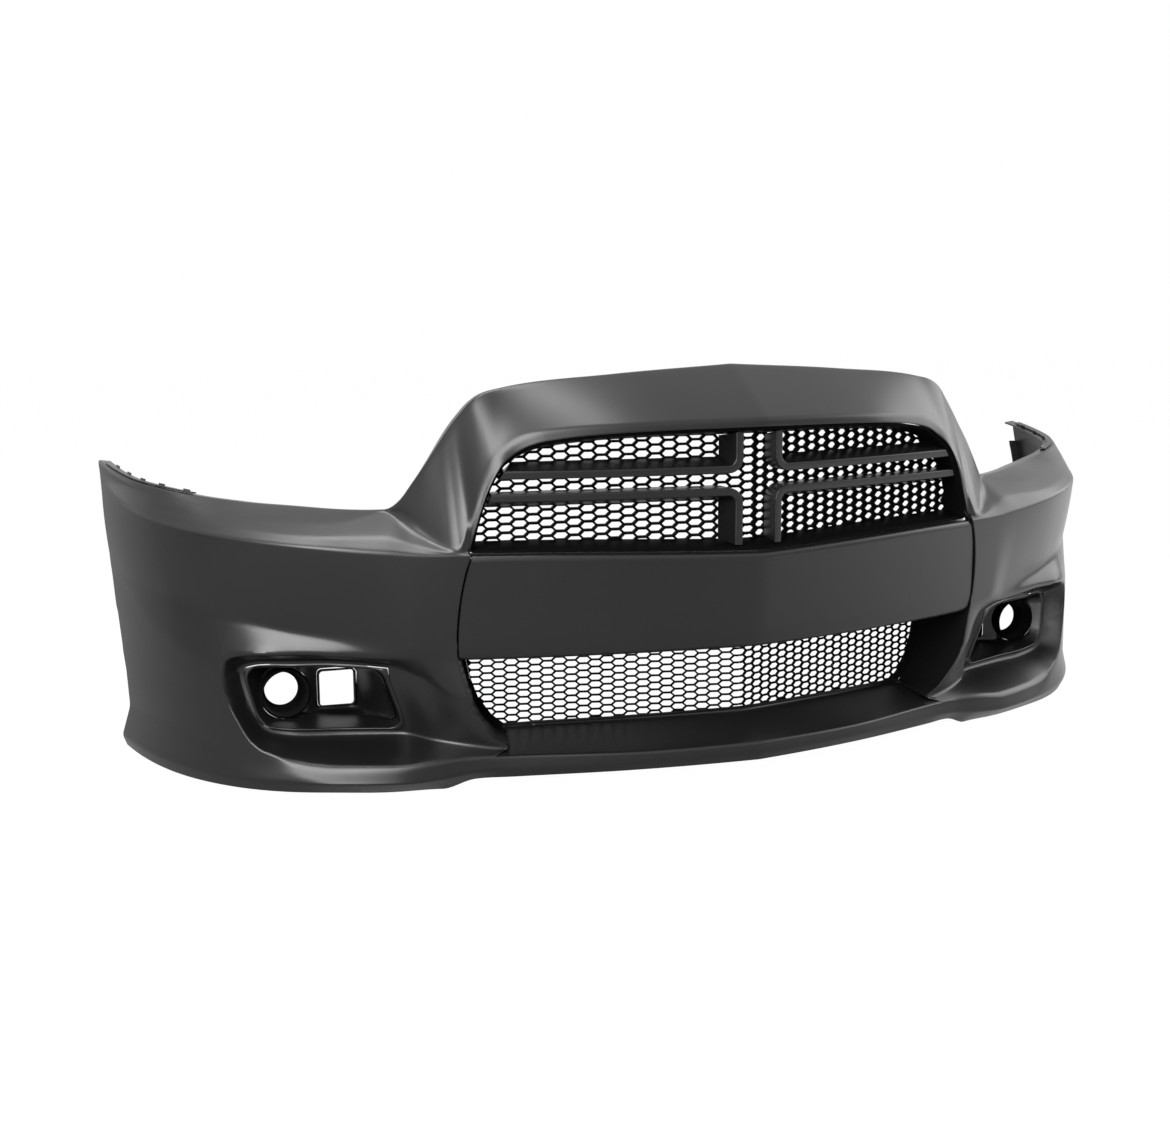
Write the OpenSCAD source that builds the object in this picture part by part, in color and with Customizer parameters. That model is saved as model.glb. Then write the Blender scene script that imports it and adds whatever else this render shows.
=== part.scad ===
// Front bumper cover for a full-size saloon car, with its grilles and lamp bezels.
// The front faces -Y, +X is across the car and the chin stands on z = 0.

/* [Overall size] */
// Half of the width, at the wheel-arch tips
half_w = 925; // [890:5:960]
// From the front of the centre panel back to the tips
depth = 612; // [580:4:640]
// Height of the hood edge at the middle
hood_z = 644; // [630:2:664]
// Height of the wheel-arch tips
tip_z = 486; // [476:2:500]
// Wall of the moulded skin
wall = 3; // [2.4:0.2:3.6]

/* [Plan shape] */
// Angle of each half of the nose, away from straight across
nose_angle = 5.7; // [4:0.1:8]
// Radius of the bow across each half of the front
front_r = 2170; // [1900:10:2600]
// Distance from the middle at which the corner begins
corner_x = 560; // [550:5:570]
// Fullness of the corner towards the front
corner_front = 245; // [220:5:270]
// Fullness of the corner towards the arch
corner_side = 265; // [240:5:290]
// Heading of the side where it meets the arch
side_angle = 84; // [80:0.5:88]

/* [Edges and flanges] */
// Set-back of the hood edge behind the nose
hood_back = 125; // [110:5:140]
// Height of the grille opening's upper edge at the middle
grille_top_z = 553; // [546:1:558]
// Height of the shelf's front ridge beside the grille
ridge_z = 371; // [368:1:374]
// Height of the sill under the headlamp
lamp_sill_z = 431; // [426:1:436]
// Depth of the flange round the grille opening
rim_d = 20; // [14:1:24]
// Depth of the flange along the top edge
top_flange = 20; // [14:1:26]
// Depth of the flange along the bottom edge
bottom_flange = 40; // [30:2:50]
// Depth of the flange round the wheel arch
arch_flange = 18; // [12:1:24]

/* [Centre panel] */
// Set-back of the panel's upper edge from the nose line
panel_set = 3; // [2:0.5:5]
// Height of the panel's lower edge
panel_low_z = 206; // [202:1:212]
// Gap between the panel and its neighbours
panel_gap = 2.5; // [2:0.5:4]
// Depth of the panel's folded edges
panel_fold = 16; // [12:1:20]
// Depth of the panel's upper edge, under the grille's surround
panel_top_fold = 34; // [28:1:38]

/* [Upper grille] */
// Face width of the surround
surround_face = 4; // [3:0.5:6]
// Width of the surround at the mesh
surround_w = 13; // [10:1:16]
// Gap between the surround and the skin's edge
surround_gap = 1; // [0.8:0.1:1.6]
// Set-back of the surround's face from the skin's edge
surround_set = 6; // [4:1:8]
// Set-back of the surround's and the bars' rear face
grille_back = 56; // [50:1:60]
// Set-back of the bars' front face
bar_set = 22; // [18:1:26]
// Face width of a bar
bar_w = 12; // [9:1:15]
// Slope of a bar's side towards its window, from front to rear
bar_draft = 11; // [4:1:12]
// Height of the upper bars' middle line
bar_upper_z = 487; // [480:1:492]
// Height of the lower bars' middle line
bar_lower_z = 453; // [446:1:458]
// Distance of the upright bars from the middle
bar_x = 34; // [28:1:40]
// Bend radius of a bar's middle line
bar_bend = 18; // [12:1:24]
// Thickness of the moulded mesh
mesh_t = 10; // [6:1:12]
// Column pitch of the upper mesh
cell_x = 21.3; // [18:0.3:24]
// Row pitch of the upper mesh
cell_z = 13.6; // [12:0.2:16]
// Width of a web between two cells
web = 3; // [2:0.2:3.6]

/* [Lower grille] */
// Set-back of the lower mesh at the middle
low_mesh_set = 84; // [78:1:90]
// Column pitch of the lower mesh
low_cell_x = 19.2; // [17:0.4:22]
// Row pitch of the lower mesh
low_cell_z = 11.6; // [10:0.2:14]
// Height of the strip that frames the lower mesh
low_frame_h = 5; // [4:0.5:7]

/* [Fog lamp bezels] */
// Height of the lamp sleeve's middle
fog_z = 140; // [136:1:144]
// Outer diameter of the lamp sleeve
sleeve_d = 80; // [74:1:84]
// Diameter of the lamp opening
lamp_d = 53; // [46:1:58]
// Wall of the bezel
bezel_wall = 2; // [1.6:0.1:2.4]
// Inset of the bezel's lip from the opening
bezel_lip = 5; // [4.6:0.2:6]
// Length of the lamp sleeve
sleeve_l = 42; // [34:1:50]
// Depth of the bezel's dish beside the lamp
dish_d = 50; // [44:1:54]
// Width of the brake duct
duct_w = 60; // [48:1:62]
// Height of the brake duct
duct_h = 62; // [46:1:64]
// Length of the brake duct
duct_l = 34; // [28:1:44]

/* [Fastening points] */
// Diameter of the holes along the hood edge
top_hole = 8.5; // [6:0.5:10]
// Distance between the outer pair of hood-edge holes
top_span = 640; // [600:10:680]
// Distance between the inner pair of hood-edge holes
top_inner_span = 240; // [200:10:300]
// Diameter of the holes along the bottom edge
low_hole = 7; // [5:0.5:8.5]
// Distance between the bottom-edge holes
low_span = 560; // [480:10:620]
// Diameter of the holes beside the wheel arch
side_hole = 6.5; // [5:0.5:8]
// Width of a fastening tab
tab_w = 44; // [36:2:52]
// Thickness of a fastening tab
tab_t = 3; // [2.5:0.5:4]
// Clearance between fitted pieces
fit = 0.4; // [0.3:0.1:0.6]

/* [Hidden] */
$fn = 48;

front_y = -depth / 2;
nose_y = front_y - panel_set;
tip_y = depth / 2 - top_flange * cos(side_angle);

// Stations run from the middle, along the nose line, to the arch tip.
end_a = 1200;
gap_a = 450;
wall_a = 430;
lamp_a = 574;
fog_end_a = 818;
recess_a = 826;
arch_a = 900;

// Feature lines of the skin: station, set-back behind the nose line, height.
bottom = [[0, 15, 25], [200, 22, 22], [380, 34, 18], [435, 40, 15], [490, 40, 0], [560, 30, 0], [650, 14, 4],
    [720, 3, 6], [800, -3, 8], [950, -6, 13], [end_a, -4, 26]];
bevel = [[0, 9, 36], [200, 15, 34], [380, 28, 32], [440, 24, 30], [500, 8, 24], [560, -4, 22], [650, -5, 22],
    [800, -12, 26], [950, -14, 34], [end_a, -12, 44]];
flare = [[0, 8, 44], [200, 14, 42], [380, 29, 42], [440, 25, 41], [500, 7, 38], [560, -2, 36], [650, -2, 36],
    [720, -5, 44], [800, -6, 58], [895, -4, 74], [1000, -2, 88], [end_a, 0, 92]];
lip = [[0, 9, 54], [200, 15, 52], [380, 31, 52], [440, 27, 52], [500, 9, 52], [560, 2, 48], [650, 2, 48],
    [706, 0, 54], [752, -3, 64], [795, -5, 76], [820, -5, 98], [828, -5, 119], [834, -5, 136], [870, -4, 144],
    [end_a, 0, 150]];
foot = [[0, 77.5, 92], [200, 108.5, 82], [363, 119, 76], [382, 45, 61], [440, 50, 66], [500, 62, 74],
    [560, 85, 82], [650, 78, 84], [730, 58, 86], [785, 46, 89], [804, 40, 93], [815, 36, 100],
    [recess_a, 32, 126], [829, 14, 137], [833, -5, 148], [870, -4, 154], [end_a, 0, 180]];
pocket = [[0, 16, 150], [450, 16, 150], [520, 45, 172], [570, 58, 186], [650, 72, 196], [730, 54, 200],
    [785, 46, 199], [804, 40, 197], [815, 36, 194], [recess_a, 32, 186], [829, 14, 179], [833, -5, 174],
    [870, -4, 176], [900, -4, 180], [1000, -3, 205], [1080, -2, 240], [end_a, 0, 270]];
brow_lip = [[0, 17, 205], [450, 17, 205], [520, 24, 204], [583, 28, 197], [644, 22, 203], [707, 12, 207],
    [760, -2, 208], [800, -8, 207], [815, -8, 205], [recess_a, -7, 199], [833, -5, 187], [870, -5, 187],
    [933, -6, 213], [1012, -4, 251], [1080, -2, 284],
    [end_a, 0, 310]];
brow_crease = [[0, 16, 222], [450, 16, 222], [523, 16, 226], [582, 27, 232], [644, 30, 240], [742, 22, 253],
    [809, 10, 266], [881, 0, 281], [961, -6, 291], [1040, -4, 294], [end_a, 0, 330]];
ridge = [[0, 0, ridge_z - 11], [446, 0, ridge_z], [473, 0, ridge_z], [574, 0, ridge_z + 7],
    [690, -3, ridge_z + 17], [790, -6, ridge_z + 25], [880, -10, ridge_z + 33], [967, -10, ridge_z + 41],
    [1080, -6, ridge_z + 53], [end_a, 0, tip_z - 46]];
edge = [[0, 5, grille_top_z], [200, 7, grille_top_z - 4], [330, 20, grille_top_z - 16],
    [375, 26, grille_top_z - 35], [400, 18, 496], [421, 14, 456], [438, 13, 402], [446, 12, ridge_z + 9],
    [455, 8, ridge_z + 5], [473, 4, ridge_z + 5], [520, 18, ridge_z + 15], [574, 40, ridge_z + 33],
    [650, 28, ridge_z + 31], [850, 20, ridge_z + 45], [1000, 0, tip_z - 58], [end_a, 0, tip_z - 34]];
roll = [[0, 7, grille_top_z + 13], [200, 10, grille_top_z + 9], [330, 24, grille_top_z - 1],
    [385, 30, grille_top_z - 23], [412, 24, 500], [430, 18, 460], [446, 14, 412], [456, 11, ridge_z + 19],
    [466, 8, ridge_z + 11], [476, 8, ridge_z + 11], [500, 22, ridge_z + 19], [530, 46, ridge_z + 35],
    [lamp_a, 76, lamp_sill_z - 3], [650, 56, lamp_sill_z - 11], [729, 50, lamp_sill_z - 9],
    [850, 40, lamp_sill_z - 1], [922, 24, tip_z - 50], [1000, 8, tip_z - 42], [end_a, 0, tip_z - 20]];
top = [[0, hood_back, hood_z], [200, hood_back - 20, hood_z - 12], [374, hood_back - 35, hood_z - 30],
    [406, hood_back - 43, hood_z - 39], [421, 80, 594], [436, 80, 577], [473, 76, 536], [514, 70, 491],
    [533, 70, 469], [550, 71, 448], [lamp_a, 80, lamp_sill_z + 1], [600, 85, lamp_sill_z],
    [729, 85, lamp_sill_z + 5], [850, 70, lamp_sill_z + 11], [922, 46, tip_z - 36], [996, 22, tip_z - 25],
    [1060, 10, tip_z - 18], [end_a, 0, tip_z]];
// Edge of the centre opening and of the wheel arch: height, station.
gap_line = [[61, 382, 0], [76, 405, 0], [100, 427, 0], [150, 450, 0], [240, 467, 0], [341, 456, 0],
    [371, 447, 0]];
arch_line = [[25, 1115, 0], [100, 1102, 0], [200, 1124, 0], [324, 1156, 0], [tip_z, end_a, 0]];

function smooth(t) = let(u = min(max(t, 0), 1)) u * u * (3 - 2 * u);
function unit(v) = v / max(norm(v), 1e-6);
function lerp(p, q, t) = p + (q - p) * t;
function total(v, i = 0) = i >= len(v) ? [0, 0, 0] : v[i] + total(v, i + 1);

// The nose line in plan: a bowed V, a full corner and the side.
corner_heading = atan(tan(nose_angle) + corner_x / front_r);
function nose_at(x) = nose_y + tan(nose_angle) * x + x * x / (2 * front_r);
b0 = [corner_x, nose_at(corner_x)];
b3 = [half_w, tip_y];
b1 = b0 + corner_front * [cos(corner_heading), sin(corner_heading)];
b2 = b3 - corner_side * [cos(side_angle), sin(side_angle)];
function plan(a) = a <= corner_x ? [a, nose_at(a)]
    : let(t = (a - corner_x) / (end_a - corner_x), u = 1 - t)
      u * u * u * b0 + 3 * t * u * u * b1 + 3 * t * t * u * b2 + t * t * t * b3;
function heading(a) = a <= corner_x ? corner_heading * smooth((a - wall_a) / (corner_x - wall_a))
    : let(t = (a - corner_x) / (end_a - corner_x), u = 1 - t,
          d = u * u * (b1 - b0) + 2 * t * u * (b2 - b1) + t * t * (b3 - b2)) atan2(d[1], d[0]);
function place(v) = let(p = plan(v[0]), h = heading(v[0])) [p[0] - v[1] * sin(h), p[1] + v[1] * cos(h), v[2]];

// A smooth line through the points of a list, without overshoot.
function slope(c, j, k) = (c[j + 1][k] - c[j][k]) / (c[j + 1][0] - c[j][0]);
function tangent(c, j, k) = j == 0 ? slope(c, 0, k) : j == len(c) - 1 ? slope(c, j - 1, k)
    : let(p = slope(c, j - 1, k), q = slope(c, j, k), g = c[j][0] - c[j - 1][0], h = c[j + 1][0] - c[j][0])
      (sign(p) + sign(q)) * min(abs(p), abs(q), abs(p * h + q * g) / (2 * (g + h)));
function span(c, a, i = 0) = i >= len(c) - 2 || a < c[i + 1][0] ? i : span(c, a, i + 1);
function follow(c, a0) = let(a = min(max(a0, c[0][0]), c[len(c) - 1][0]), i = span(c, a),
    h = c[i + 1][0] - c[i][0], t = (a - c[i][0]) / h, u = 1 - t)
    [for (k = [1, 2]) u * u * (1 + 2 * t) * c[i][k] + t * u * u * h * tangent(c, i, k)
        + t * t * (3 - 2 * t) * c[i + 1][k] - t * t * u * h * tangent(c, i + 1, k)];

// Columns of the skin. A column bends with the opening's edge, the bezel's slant and the arch.
GUIDES = [bottom, bevel, flare, lip, foot, pocket, brow_lip, brow_crease, ridge, edge, roll, top];
LIP = 4;
FOOT = 5;
POCKET = 6;
RIDGE = 9;
RIM = 10;
LAST = 14;
fillet = [0, 0, 6, 10, 5, 9, 6, 5, 20, 8, 0, 0, 14, 4, 0];
cuts = [1, 1, 2, 2, 3, 3, 2, 2, 3, 3, 1, 1, 3, 2, 1];
mids = [0, 0, 0, 0, 0, 2, 0, 0, 2, 0, 0, 0, 1, 0, 0];
// Lean of the bezel's inner end and of the recess's outer end, over a stretch of their height.
bezel_slant = 22;
recess_lean = 30;
lean_a = 690;
lean_z = 80;
lean_h = 110;
function first_row(k) = k == 0 ? 0 : first_row(k - 1) + cuts[k - 1] + mids[k - 1];
function last_row(k) = first_row(k) + cuts[k] - 1;
n_rows = last_row(LAST) + 1;
function gap_share(s, k) = k == LIP ? 0.4 * gap_share(s, FOOT) : k < LIP || k > RIDGE ? 0
    : s <= wall_a ? s / wall_a : 1 - smooth((s - gap_a) / (lamp_a - gap_a));
function slant_share(s, k) = k < FOOT || k > POCKET ? 0 : s < lamp_a ? smooth((s - gap_a) / (lamp_a - gap_a))
    : 1 - smooth((s - lamp_a) / 100);
function shift(s, z, k) = s > arch_a
    ? s + (follow(arch_line, z)[0] - end_a) * (s - arch_a) / (end_a - arch_a)
    : s + gap_share(s, k) * (follow(gap_line, z)[0] - gap_a)
        - slant_share(s, k) * bezel_slant * lean(z);
function lean(z) = 1 - smooth((z - lean_z) / lean_h);
function lean_share(s, k) = k < LIP || k > POCKET + 1 ? 0 : s < recess_a
    ? smooth((s - lean_a) / (recess_a - lean_a)) : 1 - smooth((s - recess_a) / (arch_a - recess_a));
function leaned(s, z, k) = -lean_share(s, k) * recess_lean * lean(z);
function guide_at(c, s, k) = let(a = shift(s, follow(c, s)[1], k), g = follow(c, a))
    [a + leaned(s, g[1], k), g[0], g[1]];
function keys(s) = let(
    v = [for (k = [0 : len(GUIDES) - 1]) guide_at(GUIDES[k], s, k < RIDGE ? k + 1 : k + 2)],
    rim = s < gap_a ? v[9] + [0, rim_d, 0] : (v[8] + v[9]) / 2)
    concat([v[0] + [0, bottom_flange, 0]], [for (k = [0 : 8]) v[k]], [rim], [for (k = [9 : 11]) v[k]],
        [v[11] + [0, top_flange, -3]]);
function rounded(p, q, r, f, n) = let(g = min(f, 0.42 * norm(p - q), 0.42 * norm(r - q)),
    s = q + unit(p - q) * g, e = q + unit(r - q) * g)
    n == 1 ? [q] : [for (i = [0 : n - 1]) let(t = i / (n - 1)) lerp(lerp(s, q, t), lerp(q, e, t), t)];
function between(s, v, w, n, k) = n == 0 ? [] : [for (i = [1 : n]) let(m = lerp(v, w, i / (n + 1)))
    place([k == FOOT || k == RIDGE - 1 ? shift(s, m[2], k) + leaned(s, m[2], k) : m[0], m[1], m[2]])];
function column(s) = let(v = keys(s), p = [for (q = v) place(q)]) [for (k = [0 : LAST]) each concat(
    k == 0 || k == LAST ? [p[k]] : rounded(p[k - 1], p[k], p[k + 1], fillet[k], cuts[k]),
    k == LAST ? [] : between(s, v[k], v[k + 1], mids[k], k))];

stations = [0, 75, 150, 220, 280, 330, 362, 386, 406, 420, wall_a, gap_a, 464, 480, 498, 518, 538, 556,
    lamp_a, 604, 640, 680, 720, 756, 782, 800, 810, fog_end_a, recess_a, 829, 833, 842, 858, 878, 902, 935,
    975, 1020, 1065, 1110, 1155, end_a];
wall_i = search(wall_a, stations)[0];
fog_i0 = search(lamp_a, stations)[0];
fog_i1 = search(fog_end_a, stations)[0];
hole_low = last_row(FOOT);
hole_top = first_row(RIM);
raw = [for (s = stations) column(s)];
// The intake's side walls run back to the frame of the lower mesh.
// Above them the edge beside the panel folds back.
tunnel_in = 32;
tunnel_top = 172;
tunnel_turn = 28;
low_slope = 0.3;
frame_lead = 4;
function low_y(x) = nose_y + low_mesh_set + low_slope * abs(x);
function tunnel_end(p) = lerp(p + [-wall / 2, rim_d, 0],
    [p[0] - tunnel_in, low_y(p[0] - tunnel_in) - frame_lead - 4 * fit, p[2]],
    1 - smooth((p[2] - tunnel_top) / tunnel_turn));
skin_half = concat([for (i = [0 : len(stations) - 1]) i != wall_i ? raw[i]
    : [for (r = [0 : n_rows - 1]) r <= hole_low || r > hole_top ? raw[i][r]
        : tunnel_end(raw[i + 1][r])]],
    [[for (p = raw[len(stations) - 1]) p + [-arch_flange, 0, 0]]]);

function mirrored(half) = concat([for (i = [len(half) - 1 : -1 : 1]) [for (p = half[i]) [-p[0], p[1], p[2]]]],
    half);

// A sheet of even wall over a grid of points, with some of its cells left open.
// The cells before column mid are split the other way, so that both halves mirror.
module sheet(g, t, mid = 0, hole = function(c, r) false) {
    n = len(g);
    m = len(g[0]);
    function open(i, r) = i < 0 || r < 0 || i >= n - 1 || r >= m - 1 ? true : hole(i, r);
    facing = [for (i = [0 : n - 2]) [for (r = [0 : m - 2])
        unit(cross(g[i + 1][r + 1] - g[i][r], g[i][r + 1] - g[i + 1][r]))]];
    function around(i, r) = [for (c = [i - 1, i], q = [r - 1, r]) if (!open(c, q)) facing[c][q]];
    function outward(i, r) = let(d = around(i, r), u = unit(total(d)))
        len(d) == 0 ? [0, 1, 0] : u / max(0.75, min([for (c = d) c * u]));
    back = [for (i = [0 : n - 1]) [for (r = [0 : m - 1]) g[i][r] - t * outward(i, r)]];
    all = n * m;
    function id(i, r) = i * m + r;
    function quad(a, b, c, d) = [[a, b, c], [a, c, d]];
    function cell(i, a, b, c, d) = i < mid ? [[a, b, d], [b, c, d]] : quad(a, b, c, d);
    polyhedron(concat([for (c = g) each c], [for (c = back) each c]),
        [for (i = [0 : n - 2], r = [0 : m - 2]) if (!open(i, r)) each concat(
            cell(i, id(i, r), id(i, r + 1), id(i + 1, r + 1), id(i + 1, r)),
            cell(i, all + id(i, r), all + id(i + 1, r), all + id(i + 1, r + 1), all + id(i, r + 1)),
            open(i - 1, r) ? quad(id(i, r), all + id(i, r), all + id(i, r + 1), id(i, r + 1)) : [],
            open(i + 1, r)
                ? quad(id(i + 1, r + 1), all + id(i + 1, r + 1), all + id(i + 1, r), id(i + 1, r)) : [],
            open(i, r - 1) ? quad(id(i + 1, r), all + id(i + 1, r), all + id(i, r), id(i, r)) : [],
            open(i, r + 1)
                ? quad(id(i, r + 1), all + id(i, r + 1), all + id(i + 1, r + 1), id(i + 1, r + 1)) : [])]);
}

skin_mid = len(skin_half) - 1;
function skin_hole(i, r) = let(c = i >= skin_mid ? i - skin_mid : skin_mid - 1 - i)
    (c < wall_i && r >= hole_low && r < hole_top)
    || (c >= fog_i0 && c < fog_i1 && r >= hole_low && r < first_row(POCKET))
    || (c == skin_mid - 1 && (r < first_row(LIP) || r >= first_row(RIM)));

module bumper_skin() {
    color("dimgray") sheet(mirrored(skin_half), wall, skin_mid, function(i, r) skin_hole(i, r));
}

// Centre panel: its face runs on from the skin beside it, its edges fold back.
// Set-back and height of the rows under the rounded upper edge.
panel_rows = [[27, panel_low_z], [21, panel_low_z + 8], [16.5, 235], [13.5, 262], [9.5, 300], [6, 330]];
panel_shares = [0, 0.12, 0.24, 0.36, 0.48, 0.6, 0.7, 0.8, 0.88, 0.94, 0.98, 1];
// The roof of the intake runs back from the lower edge to the frame of the lower mesh.
roof_x = 414;
roof_rise = 12;
function roof_point(u) = [u * roof_x, low_y(u * roof_x) - frame_lead - 2 * fit, panel_low_z + roof_rise];
function ridge_at(a) = follow(ridge, a)[1];
function panel_end(z) = follow(gap_line, min(z, ridge_z))[0] - panel_gap;
function panel_column(u, back) = let(
    t = ridge_at(u * panel_end(ridge_z)) - panel_gap / 2,
    rows = concat(panel_rows,
        [[panel_set + 1, t - 14], [panel_set, t - 9], [panel_set + 1.5, t - 3], [panel_set + 5, t],
        [panel_set + 5 + panel_top_fold, t - 0.5]]))
    concat([roof_point(u)],
        [for (v = rows) place([u * panel_end(v[1]) - (back > 0 ? wall / 2 : 0), v[0] + back, v[1]])]);
panel_half = concat([for (u = panel_shares) panel_column(u, 0)], [panel_column(1, panel_fold)]);
panel_mid = len(panel_half) - 1;
panel_last = len(panel_half[0]) - 2;

module centre_panel() {
    color("dimgray") sheet(mirrored(panel_half), wall, panel_mid,
        function(i, r) (i == 0 || i == 2 * panel_mid - 1) && (r < 2 || r >= panel_last - 2));
}

// Upper grille: one plane on each side of the middle carries the mesh; bars and surround end on it.
function turn(v) = unit([v[1], -v[0]]);
// A closed path moved outward by d; the path runs anticlockwise.
function grow(p, d) = [for (i = [0 : len(p) - 1]) let(n = len(p),
    q = turn(p[i] - p[(i + n - 1) % n]), r = turn(p[(i + 1) % n] - p[i])) p[i] + d * (q + r) / (1 + q * r)];
mesh_slope = (nose_at(wall_a) - nose_y) / wall_a;
mesh_angle = atan(mesh_slope);
function mesh_y(x) = nose_y + grille_back + mesh_slope * abs(x);
function edge_z(x) = follow(edge, abs(x))[1];
edge_stations = [430, 420, 406, 386, 362, 330, 280, 220, 150, 75];
sill_stations = [0, 110, 220, 330, 420];
corner_a = 444;
grille_corner = [corner_a, ridge_at(corner_a)];
edge_path_half = concat([for (a = sill_stations) [a, ridge_at(a)]], [grille_corner],
    [for (a = edge_stations) [a, edge_z(a)]], [[0, edge_z(0)]]);
edge_path = concat(edge_path_half, [for (i = [len(edge_path_half) - 2 : -1 : 1])
    [-edge_path_half[i][0], edge_path_half[i][1]]]);
outer_path = grow(edge_path, -surround_gap);
face_path = grow(edge_path, -surround_gap - surround_face);
inner_path = grow(edge_path, -surround_gap - surround_w);
sill_set = 12;
function face_y(q) = let(a = abs(q[0]))
    nose_at(a) + surround_set + (q[1] < ridge_z + 4 ? sill_set : follow(edge, a)[0]);
surround_rings = [for (i = [0 : len(edge_path) - 1])
    let(q = outer_path[i], v = face_path[i], w = inner_path[i], f = face_y(edge_path[i]))
    [[q[0], f, q[1]], [v[0], f + 1, v[1]], [w[0], mesh_y(w[0]) - fit, w[1]],
        [q[0], mesh_y(q[0]) - fit, q[1]]]];

// A body swept through rings of points; an open one is closed by its two end rings.
module sweep(rings, closed = false) {
    n = len(rings);
    m = len(rings[0]);
    function id(i, k) = (i % n) * m + k % m;
    polyhedron([for (r = rings) each r], concat(
        [for (i = [0 : n - (closed ? 1 : 2)], k = [0 : m - 1])
            each [[id(i, k), id(i, k + 1), id(i + 1, k + 1)], [id(i, k), id(i + 1, k + 1), id(i + 1, k)]]],
        closed ? [] : [[for (k = [m - 1 : -1 : 0]) id(0, k)], [for (k = [0 : m - 1]) id(n - 1, k)]]));
}

module grille_surround() {
    color("black") sweep(surround_rings, true);
}

// Bars: each runs in from the surround, bends and runs up or down to it.
// The side towards the window slopes, the side towards the cross-shaped channel is straight.
function path_x(p, z) = max([for (i = [0 : len(p) - 2]) if ((p[i][1] - z) * (p[i + 1][1] - z) < 0)
    lerp(p[i][0], p[i + 1][0], (z - p[i][1]) / (p[i + 1][1] - p[i][1]))]);
bar_gap = 1.2;
function bar_start(z, inset) = path_x(grow(edge_path, -surround_gap - inset), z) - bar_gap;
function bar_end(way, inset) = way > 0 ? edge_z(bar_x + bar_w) - inset - surround_gap - bar_gap
    : ridge_at(bar_x + bar_w) + inset + surround_gap + bar_gap;
bar_turns = [15 : 15 : 75];
bar_seat = 0.3;
function bar_side(z0, way, inset, across) = let(r = bar_bend - across,
    c = [bar_x + bar_bend, z0 + way * bar_bend], z = z0 + way * across, x = bar_x + across)
    concat([for (t = [0 : 0.25 : 1]) [lerp(bar_start(z, inset), c[0], t), z]],
        [for (g = bar_turns) c - r * [sin(g), way * cos(g)]], [[x, c[1]], [x, bar_end(way, inset)]]);
function bar_rings(z0, way) = let(h = bar_w / 2,
    front = lerp(surround_face, surround_w, bar_seat),
    wf = bar_side(z0, way, front, h), wb = bar_side(z0, way, surround_w, h + bar_draft),
    cf = bar_side(z0, way, front, -h), cb = bar_side(z0, way, surround_w, -h))
    [for (i = [0 : len(wf) - 1])
        let(r = [for (q = [wf[i], cf[i]]) [q[0], nose_at(q[0]) + bar_set, q[1]]],
            b = [for (q = [cb[i], wb[i]]) [q[0], mesh_y(q[0]) - fit, q[1]]])
        way > 0 ? [r[0], r[1], b[0], b[1]] : [r[1], r[0], b[1], b[0]]];

module bar(z0, way) {
    color("black") sweep(bar_rings(z0, way));
}
module flip() mirror([1, 0, 0]) children();
module bar_upper_right() bar(bar_upper_z, 1);
module bar_upper_left() flip() bar_upper_right();
module bar_lower_right() bar(bar_lower_z, -1);
module bar_lower_left() flip() bar_lower_right();

// Moulded mesh: six-sided cells that point sideways, in columns set half a cell apart.
function cell_hole(cx, cz) = let(p = cx * 2 / 3, h = cz / 2, g = atan(h / (cx / 3)), e = p - web / 2 / sin(g),
    v = h - web / 2, q = e - v / tan(g)) [[e, 0], [q, v], [-q, v], [-e, 0], [-q, -v], [q, -v]];
// The part of a convex shape on the inner side of every edge of a convex outline.
function cut_edge(h, a, b) = let(n = turn(b - a), d = [for (q = h) (q - a) * n]) len(h) == 0 ? []
    : [for (i = [0 : len(h) - 1]) let(k = (i + 1) % len(h)) each concat(d[i] <= 0 ? [h[i]] : [],
        d[i] * d[k] < 0 ? [lerp(h[i], h[k], d[i] / (d[i] - d[k]))] : [])];
function clip(h, p, i = 0) = i >= len(p) ? h : clip(cut_edge(h, p[i], p[(i + 1) % len(p)]), p, i + 1);
function size_of(h) = len(h) < 3 ? [0, 0]
    : [for (k = [0, 1]) max([for (q = h) q[k]]) - min([for (q = h) q[k]])];
module mesh_plate(outline, limit, cx, cz, z0) {
    span_x = max([for (q = outline) q[0]]);
    low = min([for (q = outline) q[1]]);
    high = max([for (q = outline) q[1]]);
    difference() {
        polygon(outline);
        for (i = [0 : ceil(span_x / cx)], j = [floor((low - z0) / cz) : ceil((high - z0) / cz)]) {
            c = [i * cx, z0 + (j + (i % 2) / 2) * cz];
            h = clip([for (q = cell_hole(cx, cz)) c + q], limit);
            if (min(size_of(h)) > web) polygon(h);
        }
    }
}
module lean(angle, y0) translate([0, y0, 0]) rotate([0, 0, angle]) rotate([90, 0, 0]) children();
// The limit of the cells reaches past the middle, where the cells of both sides meet.
function on_plane(path, angle) = [for (q = path) [q[0] / cos(angle), q[1]]];
function past_middle(path) = [for (q = path) q[0] > 0 ? q : [-cell_x, q[1]]];
upper_border = 3;
upper_outline = [for (q = on_plane(grow(edge_path_half, -1), mesh_angle)) [max(q[0], fit), q[1]]];
upper_limit = grow(past_middle(on_plane(edge_path_half, mesh_angle)), -1 - upper_border);
bar_mid_z = (bar_upper_z + bar_lower_z) / 2;

module upper_mesh_right() {
    color("black") lean(mesh_angle, nose_y + grille_back + mesh_t) linear_extrude(mesh_t)
        mesh_plate(upper_outline, upper_limit, cell_x, cell_z, bar_mid_z);
}
module upper_mesh_left() flip() upper_mesh_right();

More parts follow.
